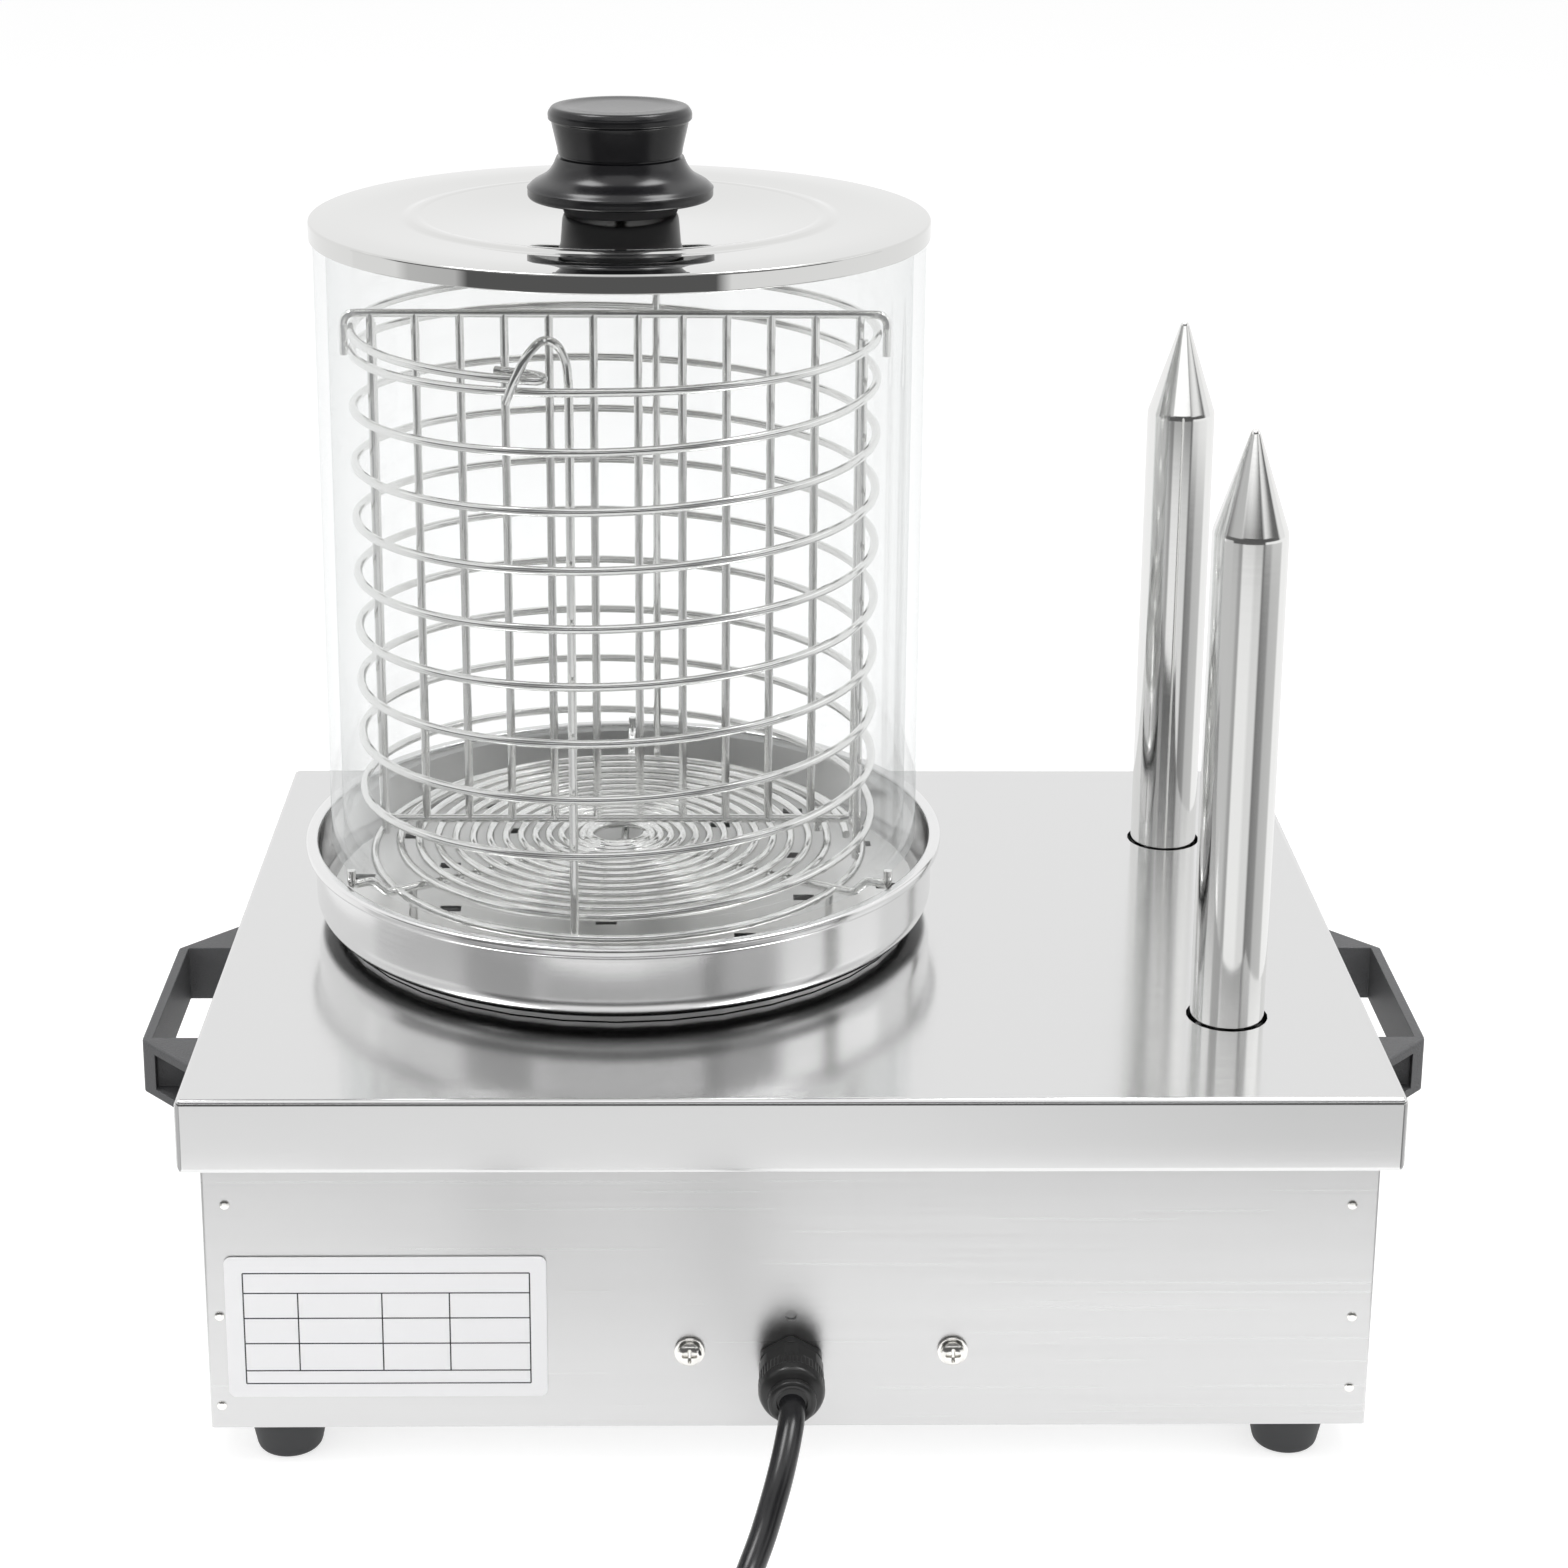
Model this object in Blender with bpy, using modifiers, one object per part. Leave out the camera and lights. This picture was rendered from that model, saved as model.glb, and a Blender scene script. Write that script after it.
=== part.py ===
"""Hot dog spike machine: a steamer with a glass cylinder over a wire basket, and two heated spikes.

Metres, +Z up. The origin is at the bottom centre. -Y is the rear, where the mains cord leaves, +Y is
the operator's side, and +X is to the right as seen from the rear.
"""

import math

import bmesh
import bpy
from mathutils import Matrix, Vector

for old in list(bpy.data.objects):
    bpy.data.objects.remove(old, do_unlink=True)

# Clearances and shared allowances
GAP = 0.0003
OVERRUN = 0.004
WELD = 0.00001
SHEET = 0.001

# Body shell and bottom plate
BODY_WIDTH = 0.356
BODY_DEPTH = 0.273
BODY_LIP = 0.010
BODY_CORNER = 0.002
BOTTOM_SHEET = 0.001
VENT_LENGTH = 0.060
VENT_WIDTH = 0.006
VENT_PITCH = 0.016
VENT_COUNT = 4

# Top cover
COVER_OVERHANG = 0.006
COVER_TOP = 0.127
APRON = 0.0243
COVER_CORNER = 0.002

# Feet, pushed into the bottom plate
FOOT_HEIGHT = 0.0137
FOOT_TOP_RADIUS = 0.0125
FOOT_BOTTOM_RADIUS = 0.010
FOOT_ROUNDING = 0.0025
FOOT_STEM_RADIUS = 0.0037
FOOT_HEAD_RADIUS = 0.0055
FOOT_HEAD_HEIGHT = 0.003
FOOT_INSET_X = 0.022
FOOT_INSET_Y = 0.0145

# Handles
HANDLE_HEIGHT = 0.0194
HANDLE_BELOW_APRON = 0.0041
HANDLE_REACH = 0.0344
HANDLE_WALL_LENGTH = 0.150
HANDLE_GRIP_LENGTH = 0.076
HANDLE_GRIP_WALL = 0.0035
HANDLE_OPENING_LENGTH = 0.074
HANDLE_ROOT_WALL = 0.003
HANDLE_SIDE_WALL = 0.003
HANDLE_PLATE = 0.0035
HANDLE_POCKET_END = 0.005
HANDLE_ROUNDING = 0.0012

# Rating plate on the rear
PLATE_WIDTH = 0.0975
PLATE_HEIGHT = 0.0475
PLATE_SHEET = 0.0004
PLATE_INSET = 0.006
PLATE_CENTRE_Z = 0.04875

# Cord gland
GLAND_HEIGHT = 0.035
GLAND_BORE_SHARE = 1.08
GLAND_BARREL_RADIUS = 0.0078
GLAND_FLANGE_RADIUS = 0.0115
GLAND_FLANGE = 0.004
GLAND_INNER_LENGTH = 0.012
GLAND_OUTER_LENGTH = 0.012
GLAND_NUT_RADIUS = 0.01015
GLAND_NUT_WALL = 0.0022
GLAND_NUT_SKIRT = 0.010
GLAND_NUT_DOME = 0.0085
GLAND_NOSE_RADIUS = 0.0062
LOCKNUT_RADIUS = 0.0118
LOCKNUT_HEIGHT = 0.005
RELIEF_HOLE_RADIUS = 0.0019
RELIEF_HOLE_HEIGHT = 0.052

# Rear screws, washers and the terminal bracket that they hold
REAR_SCREW_LEFT_X = -0.031
REAR_SCREW_RIGHT_X = 0.0496
REAR_SCREW_HEIGHT = 0.0401
REAR_SCREW_RADIUS = 0.002
REAR_HEAD_RADIUS = 0.0035
REAR_HEAD_HEIGHT = 0.0024
REAR_SCREW_LENGTH = 0.009
SLOT_LENGTH = 0.0042
SLOT_WIDTH = 0.0009
SLOT_DEPTH = 0.0013
WASHER_RADIUS = 0.00435
WASHER_HEIGHT = 0.0009
BRACKET_SHEET = 0.0015
BRACKET_MARGIN = 0.008
BRACKET_TOP = 0.056
BRACKET_SHELF = 0.045
BRACKET_BOTTOM_MARGIN = 0.008

# Terminal block and the supply lead inside
BLOCK_WIDTH = 0.048
BLOCK_DEPTH = 0.020
BLOCK_HEIGHT = 0.017
BLOCK_WELL_RADIUS = 0.0024
BLOCK_WELL_DEPTH = 0.006
BLOCK_CHAMFER = 0.001
BLOCK_POLES = 3
LEAD_RUN = 0.036
LEAD_SIDES_LEVEL = 1

# Steamer axis and the hot plate under the tray
AXIS_INSET_X = 0.1236
AXIS_Y = 0.0096
HOT_PLATE_INSET = 0.0064
HOT_PLATE_LIP = 0.0016
HOT_PLATE_LIP_WIDTH = 0.017
HOT_PLATE_DEPTH = 0.0105
CENTRE_STUD_RADIUS = 0.003
ELEMENT_INSET = 0.025
ELEMENT_TUBE = 0.0042
ELEMENT_OPENING_ANGLE = math.radians(20)
ELEMENT_LEG = 0.022
CLAMP_OVERLAP = 0.009
CLAMP_WIDTH = 0.018
CLAMP_SHEET = 0.002
CLAMP_NUT_RADIUS = 0.006
CLAMP_NUT_HEIGHT = 0.005
CLAMP_NUT_BORE_SHARE = 1.2
STUD_TAIL = 0.003
CUTOUT_RADIUS = 0.008
CUTOUT_FLANGE_RADIUS = 0.011
CUTOUT_FLANGE = 0.001
CUTOUT_HEIGHT = 0.009
CUTOUT_PLACE_SHARE = 0.51

# Thermostat on the front panel
KNOB_BELOW_COVER = 0.069
DIAL_RADIUS = 0.032
DIAL_SHEET = 0.0008
KNOB_SKIRT_RADIUS = 0.022
KNOB_GRIP_RADIUS = 0.0165
KNOB_SKIRT = 0.004
KNOB_LENGTH = 0.0196
KNOB_EDGE = 0.002
KNOB_RIDGE_WIDTH = 0.004
KNOB_RIDGE_HEIGHT = 0.0015
SHAFT_RADIUS = 0.003
SHAFT_INTO_KNOB = 0.012
SHAFT_INTO_BODY = 0.010
THERMOSTAT_WIDTH = 0.040
THERMOSTAT_HEIGHT = 0.036
THERMOSTAT_DEPTH = 0.028
THERMOSTAT_NECK_RADIUS = 0.0055
BULB_RADIUS = 0.003
BULB_LENGTH_SHARE = 1.09
BULB_PLACE_SHARE = 0.455
CAPILLARY_RADIUS = 0.001

# Rocker switches and pilot lamps
SWITCH_BEZEL_WIDTH = 0.016
SWITCH_BEZEL_HEIGHT = 0.033
SWITCH_BEZEL = 0.002
SWITCH_BODY_WIDTH = 0.0130
SWITCH_BODY_HEIGHT = 0.0295
SWITCH_BODY_DEPTH = 0.022
SWITCH_BELOW_COVER = 0.077
HEAT_SWITCH_X = 0.035
SPIKE_SWITCH_X = 0.095
ROCKER_WIDTH = 0.0098
ROCKER_HALF_HEIGHT = 0.0105
ROCKER_CREST = 0.0052
ROCKER_DIP = 0.0026
ROCKER_BACK = 0.0030
ROCKER_PIVOT_DEPTH = 0.0002
ROCKER_ANGLE = math.radians(9)
ROCKER_CLEARANCE = 0.0006
LAMP_BELOW_COVER = 0.044
LAMP_LENS_RADIUS = 0.0055
LAMP_BEZEL_RADIUS = 0.0075
LAMP_BEZEL = 0.0015
LAMP_LENS_HEIGHT = 0.004
LAMP_BARREL_RADIUS = 0.005
LAMP_BARREL_LENGTH = 0.022

# Spikes and the bracket that carries them
SPIKE_INSET_X = 0.0398
REAR_SPIKE_INSET = 0.0545
FRONT_SPIKE_INSET = 0.0655
SPIKE_RADIUS = 0.01165
SPIKE_SHAFT = 0.1588
SPIKE_CONE = 0.0319
SPIKE_TIP_RADIUS = 0.0013
SPIKE_TIP_ROUNDING = 0.0008
SPIKE_HOLE_CLEARANCE = 0.0012
SPIKE_THREAD_RADIUS = 0.0085
SPIKE_THREAD_LENGTH = 0.014
SPIKE_BORE_RADIUS = 0.0066
SPIKE_BORE_MARGIN = 0.0138
HEATER_RADIUS = 0.0062
HEATER_TAIL = 0.006
WIRE_BUNDLE_RADIUS = 0.003
WIRE_BRANCH_RADIUS = 0.002
BUNDLE_FALL = 0.060
BUNDLE_RISE = 0.020
BUNDLE_TO_SWITCHES = 0.0216
LINK_DROP = 0.018
SPIKE_NUT_RADIUS = 0.013
SPIKE_NUT_HEIGHT = 0.006
SPIKE_NUT_BORE_SHARE = 1.18
SPIKE_BRACKET_SHEET = 0.002
SPIKE_BRACKET_WIDTH = 0.036
SPIKE_BRACKET_DROP = 0.022
SPIKE_BRACKET_FOOT = 0.014
SPIKE_BRACKET_MARGIN = 0.020

# Tray and perforated plate
TRAY_RADIUS = 0.1034
TRAY_RIM_WIDTH = 0.0036
TRAY_HEIGHT = 0.0267
TRAY_RIM_HEIGHT = 0.0034
TRAY_HEM = 0.0012
GRID_HEIGHT = 0.0048
GRID_SHEET = 0.001
GRID_CLEARANCE = 0.0034
GRID_SLOT_LENGTH = 0.007
GRID_SLOT_WIDTH = 0.005
GRID_RING_SHARES = (0.36, 0.63, 0.90)
GRID_RING_COUNTS = (6, 10, 14)

# Wire basket
WIRE = 0.0014
BASKET_OFF_CENTRE = 0.0019
BASKET_CLEARANCE = 0.0093
BASKET_PITCH = 0.0186
BASKET_TURNS = 8
BASKET_BOTTOM_GAP = 0.0054
BASKET_TOP_TURN_DROP = 0.0028
BASKET_START_ANGLE = math.radians(255.7)
BASKET_LAST_DROP = 0.0205
BASKET_POINTS_PER_TURN = 20
BAR_LIFT = 0.014
ROD_FIRST_ANGLE = math.radians(81.8)
ROD_COUNT = 4
HOOKED_ROD = 2
ROD_BELOW_TOP_TURN = 0.0026
ROD_HOOK_RISE = 0.0124
ROD_HOOK_REACH = 0.0035
HUB_RADIUS = 0.0034
HUB_HEIGHT = 0.0034
BAR_COUNT = 3
BAR_FIRST_ANGLE = math.radians(90)
BAR_RISE = 0.0052
BAR_BEND_INSET = 0.01245
BAR_BEND_RUN = 0.005
BAR_STOP_HEIGHT = 0.0050
BAR_LEG_INSET = 0.02145
FLOOR_INNER_RADIUS = 0.0090
FLOOR_MARGIN = 0.001
FLOOR_TURNS = 14
FLOOR_GROWTH = 1.35
FLOOR_LEAST_SHARE = 0.42
FLOOR_MOST_SHARE = 0.85

# Wire divider, hung on the basket's top turn
DIVIDER_BARS = 12
DIVIDER_SIDE_GAP = 0.002925
DIVIDER_LIFT = 0.0059
DIVIDER_HOOK_DEPTH = 0.0138
DIVIDER_CORNER = 0.004
DIVIDER_LEG_INSET = 0.011975

# Glass cylinder
GLASS_CLEARANCE = 0.0039
GLASS_WALL = 0.004
GLASS_ABOVE_BASKET = 0.0212

# Lid and its knob
LID_PLATE = 0.0011
LID_RIM = 0.00655
LID_SHEET = 0.001
LID_EDGE = 0.0015
LID_RING_INSET = 0.0338
LID_RING_WIDTH = 0.0022
LID_RING_HEIGHT = 0.0007
COLLAR_RADIUS = 0.0182
COLLAR_TOP_RADIUS = 0.0202
COLLAR_HEIGHT = 0.0054
LID_KNOB_HEIGHT = 0.0285
KNOB_TOP_RADIUS = 0.023
KNOB_ROUNDING = 0.0023
KNOB_NECK_RADIUS = 0.0213
KNOB_NECK_SHARE = 0.825
KNOB_WAIST_RADIUS = 0.0199
KNOB_WAIST_SHARE = 0.45
KNOB_FLARE_SHARES = ((0.35, 0.20), (0.58, 0.42), (0.79, 0.81))
LID_KNOB_SKIRT_RADIUS = 0.0299
LID_KNOB_SKIRT_SHARE = 0.07
LID_SCREW_RADIUS = 0.002
LID_SCREW_HEAD_RADIUS = 0.0045
LID_SCREW_HEAD_HEIGHT = 0.003
LID_SCREW_REACH = 0.020

# Mains cord, its stored coil and its plug
CORD_RADIUS = 0.004
CORD_FLOOR_LIFT = 0.0001
COIL_X = -0.060
COIL_Y = -0.292
COIL_MEAN_RADIUS = 0.044
PLUG_AXIS_Z = 0.020
PLUG_RADIUS = 0.0197
PLUG_LENGTH = 0.030
PLUG_EDGE = 0.003
PLUG_BOOT_RADIUS = 0.0078
PLUG_BOOT_TIP_RADIUS = 0.0052
PLUG_BOOT_LENGTH = 0.036
PLUG_PIN_RADIUS = 0.0024
PLUG_PIN_LENGTH = 0.019
PLUG_PIN_SPACING = 0.019

# Sides of the round pieces
FINE_SIDES = 36
ROUND_SIDES = 24
SMALL_SIDES = 16
TINY_SIDES = 10
HEX_SIDES = 6
PLUG_SIDES = 20

# Places worked out from the sizes above
WALL_X = BODY_WIDTH / 2
WALL_Y = BODY_DEPTH / 2
BODY_BOTTOM = FOOT_HEIGHT + GAP
COVER_UNDER = COVER_TOP - SHEET
BODY_TOP = COVER_UNDER - GAP
BOTTOM_PLATE_Z = BODY_BOTTOM + SHEET + GAP
BOTTOM_PLATE_TOP = BOTTOM_PLATE_Z + BOTTOM_SHEET
COVER_WIDTH = BODY_WIDTH + COVER_OVERHANG * 2
COVER_DEPTH = BODY_DEPTH + COVER_OVERHANG * 2
HANDLE_CENTRE = COVER_TOP - APRON - HANDLE_BELOW_APRON - HANDLE_HEIGHT / 2
PLATE_CENTRE_X = -WALL_X + PLATE_INSET + PLATE_WIDTH / 2
KNOB_HEIGHT_ON_PANEL = COVER_TOP - KNOB_BELOW_COVER
SWITCH_HEIGHT = COVER_TOP - SWITCH_BELOW_COVER
LAMP_HEIGHT = COVER_TOP - LAMP_BELOW_COVER
SPIKE_X = WALL_X - SPIKE_INSET_X
REAR_SPIKE_Y = -WALL_Y + REAR_SPIKE_INSET
FRONT_SPIKE_Y = WALL_Y - FRONT_SPIKE_INSET
SPIKE_SHOULDER = COVER_TOP + SPIKE_SHAFT
SPIKE_TIP = SPIKE_SHOULDER + SPIKE_CONE
SPIKE_BORE_TOP = SPIKE_SHOULDER - SPIKE_BORE_MARGIN
AXIS_X = -WALL_X + AXIS_INSET_X
TRAY_INNER = TRAY_RADIUS - SHEET
TRAY_RIM_RADIUS = TRAY_RADIUS + TRAY_RIM_WIDTH
HOT_PLATE_RADIUS = TRAY_RADIUS - HOT_PLATE_INSET
HOT_PLATE_SPIGOT_RADIUS = HOT_PLATE_RADIUS - HOT_PLATE_LIP_WIDTH
HOT_PLATE_TOP = COVER_TOP + GAP + HOT_PLATE_LIP
HOT_PLATE_UNDER = HOT_PLATE_TOP - HOT_PLATE_DEPTH
ELEMENT_RADIUS = HOT_PLATE_SPIGOT_RADIUS - ELEMENT_INSET
CLAMP_LENGTH = (ELEMENT_RADIUS + CLAMP_OVERLAP) * 2
CUTOUT_OFFSET = ELEMENT_RADIUS * CUTOUT_PLACE_SHARE
BULB_OFFSET = ELEMENT_RADIUS * BULB_PLACE_SHARE
BULB_LENGTH = ELEMENT_RADIUS * BULB_LENGTH_SHARE
TRAY_BOTTOM = HOT_PLATE_TOP + GAP
TRAY_FLOOR = TRAY_BOTTOM + SHEET
TRAY_TOP = TRAY_BOTTOM + TRAY_HEIGHT
GRID_RADIUS = TRAY_INNER - GRID_CLEARANCE
GRID_TOP = TRAY_FLOOR + GRID_HEIGHT
BASKET_X = AXIS_X - BASKET_OFF_CENTRE
BASKET_Y = AXIS_Y
BAR_Z = GRID_TOP + BAR_LIFT
FLOOR_Z = BAR_Z + WIRE * 2 + GAP
BAR_END_Z = BAR_Z + BAR_RISE
GLASS_BOTTOM = BAR_END_Z + WIRE + GAP
GLASS_RADIUS = TRAY_INNER - GLASS_CLEARANCE
GLASS_INNER = GLASS_RADIUS - GLASS_WALL
BASKET_RADIUS = GLASS_INNER - BASKET_CLEARANCE
BAR_END_RADIUS = (GLASS_RADIUS + TRAY_INNER) / 2
BAR_BEND_START = BAR_END_RADIUS - BAR_BEND_INSET
BAR_BEND_END = BAR_BEND_START + BAR_BEND_RUN
BAR_LEG_RADIUS = BAR_END_RADIUS - BAR_LEG_INSET
BASKET_BOTTOM_TURN_Z = FLOOR_Z + BASKET_BOTTOM_GAP
BASKET_WOUND_HEIGHT = BASKET_TOP_TURN_DROP + BASKET_PITCH * BASKET_TURNS + BASKET_LAST_DROP
BASKET_TOP_TURN_Z = BASKET_BOTTOM_TURN_Z + BASKET_WOUND_HEIGHT
ROD_TOP = BASKET_TOP_TURN_Z - ROD_BELOW_TOP_TURN
ROD_HOOK_APEX = BASKET_TOP_TURN_Z + ROD_HOOK_RISE
GLASS_TOP = ROD_HOOK_APEX + WIRE + GLASS_ABOVE_BASKET
LID_TOP = GLASS_TOP + GAP + LID_PLATE
LID_RING_RADIUS = GLASS_RADIUS + GAP + SHEET - LID_RING_INSET
LID_KNOB_BOTTOM = LID_TOP + GAP + COLLAR_HEIGHT + GAP
LID_KNOB_SKIRT_Z = LID_KNOB_BOTTOM + LID_KNOB_HEIGHT * LID_KNOB_SKIRT_SHARE
KNOB_WAIST_Z = LID_KNOB_BOTTOM + LID_KNOB_HEIGHT * KNOB_WAIST_SHARE
KNOB_NECK_Z = LID_KNOB_BOTTOM + LID_KNOB_HEIGHT * KNOB_NECK_SHARE
KNOB_TOP = LID_KNOB_BOTTOM + LID_KNOB_HEIGHT
LID_SCREW_TOP = LID_TOP + LID_SCREW_REACH
COIL_FLAT_RADIUS = BASKET_RADIUS * math.cos(math.pi / BASKET_POINTS_PER_TURN)
ROD_RADIUS = COIL_FLAT_RADIUS - WIRE * 2 - GAP
FRAME_RING_RADIUS = ROD_RADIUS + WIRE
FLOOR_OUTER_RADIUS = ROD_RADIUS - WIRE * 2 - FLOOR_MARGIN
DIVIDER_TOP = BASKET_TOP_TURN_Z + WIRE * 2 + GAP
DIVIDER_HOOK_X = BASKET_RADIUS + WIRE * 2 + GAP
DIVIDER_BOTTOM = FLOOR_Z + DIVIDER_LIFT
DIVIDER_OUTER_X = BASKET_RADIUS - WIRE * 2 - DIVIDER_SIDE_GAP
DIVIDER_BAR_PITCH = DIVIDER_OUTER_X * 2 / (DIVIDER_BARS - 1)
DIVIDER_LEG_X = DIVIDER_OUTER_X - DIVIDER_LEG_INSET
PANEL_OUT = WALL_Y + GAP
COIL_HALF = CORD_RADIUS * 2
COIL_OUTER = COIL_MEAN_RADIUS + COIL_HALF
COIL_INNER = COIL_MEAN_RADIUS - COIL_HALF

PARTS = bpy.data.collections.new("hot_dog_spike_machine")
CUTTERS = bpy.data.collections.new("cutters_and_guides")
bpy.context.scene.collection.children.link(PARTS)
bpy.context.scene.collection.children.link(CUTTERS)


def paint(name, colour, roughness, metallic=0.0, transmission=0.0):
    """A Principled material."""
    made = bpy.data.materials.new(name)
    made.use_nodes = True
    shader = made.node_tree.nodes["Principled BSDF"]
    shader.inputs["Base Color"].default_value = (*colour, 1.0)
    shader.inputs["Roughness"].default_value = roughness
    shader.inputs["Metallic"].default_value = metallic
    shader.inputs["Transmission Weight"].default_value = transmission
    made.diffuse_color = (*colour, 1.0)
    return made


def steel(name, roughness=0.3):
    return paint(name, (0.72, 0.72, 0.72), roughness, 1.0)


def part(shape, material):
    """Puts a finished piece in the parts collection with its own material."""
    PARTS.objects.link(shape)
    shape.data.materials.clear()
    shape.data.materials.append(material)
    if shape.type == "MESH":
        shape.data.shade_smooth()
        shape.data.set_sharp_from_angle(angle=math.radians(35))
    return shape


def helper(shape):
    """Puts a cutter or a piece to be joined in the helpers' collection."""
    CUTTERS.objects.link(shape)
    shape.hide_render = True
    shape.display_type = "WIRE"
    return shape


def from_bmesh(name, work):
    mesh = bpy.data.meshes.new(name)
    work.to_mesh(mesh)
    work.free()
    return bpy.data.objects.new(name, mesh)


def block(name, low, high, rounding=0, segments=2):
    """A box between two corners, with its edges rounded if asked."""
    work = bmesh.new()
    bmesh.ops.create_cube(work, size=1)
    size = Vector(high) - Vector(low)
    middle = (Vector(high) + Vector(low)) / 2
    bmesh.ops.scale(work, vec=size, verts=work.verts)
    shape = from_bmesh(name, work)
    shape.location = middle
    if rounding:
        bevel = shape.modifiers.new("rounding", "BEVEL")
        bevel.width = rounding
        bevel.segments = segments
    return shape


def blocks(name, items):
    """One helper mesh of several boxes, each given as centre, size and turn about Z."""
    work = bmesh.new()
    for centre, size, turn in items:
        matrix = Matrix.Translation(centre) @ Matrix.Rotation(turn, 4, "Z")
        made = bmesh.ops.create_cube(work, size=1)["verts"]
        bmesh.ops.scale(work, vec=size, verts=made)
        bmesh.ops.transform(work, matrix=matrix, verts=made)
    return from_bmesh(name, work)


def rod(name, radius, start, end, sides=SMALL_SIDES):
    """A cylinder between two points."""
    work = bmesh.new()
    axis = Vector(end) - Vector(start)
    bmesh.ops.create_cone(
        work,
        cap_ends=True,
        segments=sides,
        radius1=radius,
        radius2=radius,
        depth=axis.length,
    )
    shape = from_bmesh(name, work)
    shape.rotation_mode = "QUATERNION"
    shape.rotation_quaternion = axis.to_track_quat("Z", "Y")
    shape.location = (Vector(start) + Vector(end)) / 2
    return shape


def turned(name, profile, place, sides=ROUND_SIDES, ring=False, turn=(0, 0, 0)):
    """A profile of (radius, height) pairs turned about the local Z axis. A ring's profile is a loop."""
    work = bmesh.new()
    points = [work.verts.new((radius, 0, height)) for radius, height in profile]
    for first, second in zip(points, points[1:]):
        work.edges.new((first, second))
    if ring:
        work.edges.new((points[-1], points[0]))
    shape = from_bmesh(name, work)
    shape.location = place
    shape.rotation_euler = turn
    screw = shape.modifiers.new("turning", "SCREW")
    screw.axis = "Z"
    screw.steps = sides
    screw.render_steps = sides
    screw.use_merge_vertices = True
    screw.merge_threshold = WELD
    screw.use_smooth_shade = True
    return shape


TO_REAR = (math.radians(90), 0, 0)
TO_FRONT = (math.radians(-90), 0, 0)


def as_mesh(curve):
    """The mesh of a curve object, with its caps welded."""
    bpy.context.scene.collection.objects.link(curve)
    bpy.context.view_layer.update()
    graph = bpy.context.evaluated_depsgraph_get()
    mesh = bpy.data.meshes.new_from_object(curve.evaluated_get(graph))
    work = bmesh.new()
    work.from_mesh(mesh)
    bmesh.ops.remove_doubles(work, verts=work.verts, dist=WELD)
    work.to_mesh(mesh)
    work.free()
    name = curve.name
    matrix = curve.matrix_world.copy()
    bpy.data.objects.remove(curve, do_unlink=True)
    mesh.materials.clear()
    shape = bpy.data.objects.new(name, mesh)
    shape.matrix_world = matrix
    return shape


def tube(name, points, radius, detail=1, cyclic=False):
    """A round wire along the points."""
    data = bpy.data.curves.new(name, "CURVE")
    data.dimensions = "3D"
    data.bevel_depth = radius
    data.bevel_resolution = detail
    data.use_fill_caps = True
    spline = data.splines.new("POLY")
    spline.points.add(len(points) - 1)
    for target, point in zip(spline.points, points):
        target.co = (*point, 1)
    spline.use_cyclic_u = cyclic
    return bpy.data.objects.new(name, data)


def flat(name, outlines, thickness):
    """A flat piece from closed outlines in its own XY plane, with its thickness about the plane."""
    data = bpy.data.curves.new(name, "CURVE")
    data.dimensions = "2D"
    data.fill_mode = "BOTH"
    data.extrude = thickness / 2
    for outline in outlines:
        spline = data.splines.new("POLY")
        spline.points.add(len(outline) - 1)
        for target, (x, y) in zip(spline.points, outline):
            target.co = (x, y, 0, 1)
        spline.use_cyclic_u = True
    return bpy.data.objects.new(name, data)


def cut(shape, cutter, name="cut"):
    boolean = shape.modifiers.new(name, "BOOLEAN")
    boolean.operation = "DIFFERENCE"
    boolean.solver = "EXACT"
    boolean.object = helper(cutter)
    return shape


def join(shape, other, name="join"):
    boolean = shape.modifiers.new(name, "BOOLEAN")
    boolean.operation = "UNION"
    boolean.solver = "EXACT"
    boolean.object = helper(other)
    return shape


def polar(radius, angle, z, centre=(0, 0)):
    """The point at a radius and an angle about a centre."""
    x = centre[0] + radius * math.cos(angle)
    y = centre[1] + radius * math.sin(angle)
    return Vector((x, y, z))


def smooth_route(points, steps):
    """Points on a smooth curve that passes through the given ones."""
    route = [Vector(point) for point in points]
    padded = [route[0] * 2 - route[1], *route, route[-1] * 2 - route[-2]]
    found = []
    for a, b, c, d in zip(padded, padded[1:], padded[2:], padded[3:]):
        for step in range(steps):
            t = step / steps
            along = (c - a) * t
            bend = (a * 2 - b * 5 + c * 4 - d) * t**2
            twist = (b * 3 - a - c * 3 + d) * t**3
            found.append((b * 2 + along + bend + twist) / 2)
    found.append(route[-1])
    return found


def rounded_corner(before, corner, after, radius, steps=3):
    """Points that round one corner of a wire."""
    to_before = (Vector(before) - Vector(corner)).normalized() * radius
    to_after = (Vector(after) - Vector(corner)).normalized() * radius
    found = []
    for step in range(steps + 1):
        t = step / steps
        found.append(Vector(corner) + to_before * (1 - t) ** 2 + to_after * t**2)
    return found


# Body shell: four walls with a narrow lip inwards at the top and at the bottom
base_shell = block(
    "base_shell", (-WALL_X, -WALL_Y, BODY_BOTTOM), (WALL_X, WALL_Y, BODY_TOP)
)
cut(
    base_shell,
    block(
        "shell_inside",
        (-WALL_X + SHEET, -WALL_Y + SHEET, BODY_BOTTOM + SHEET),
        (WALL_X - SHEET, WALL_Y - SHEET, BODY_TOP - SHEET),
    ),
)
cut(
    base_shell,
    block(
        "shell_mouth",
        (-WALL_X + BODY_LIP, -WALL_Y + BODY_LIP, BODY_BOTTOM - OVERRUN),
        (WALL_X - BODY_LIP, WALL_Y - BODY_LIP, BODY_TOP + OVERRUN),
    ),
)


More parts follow.
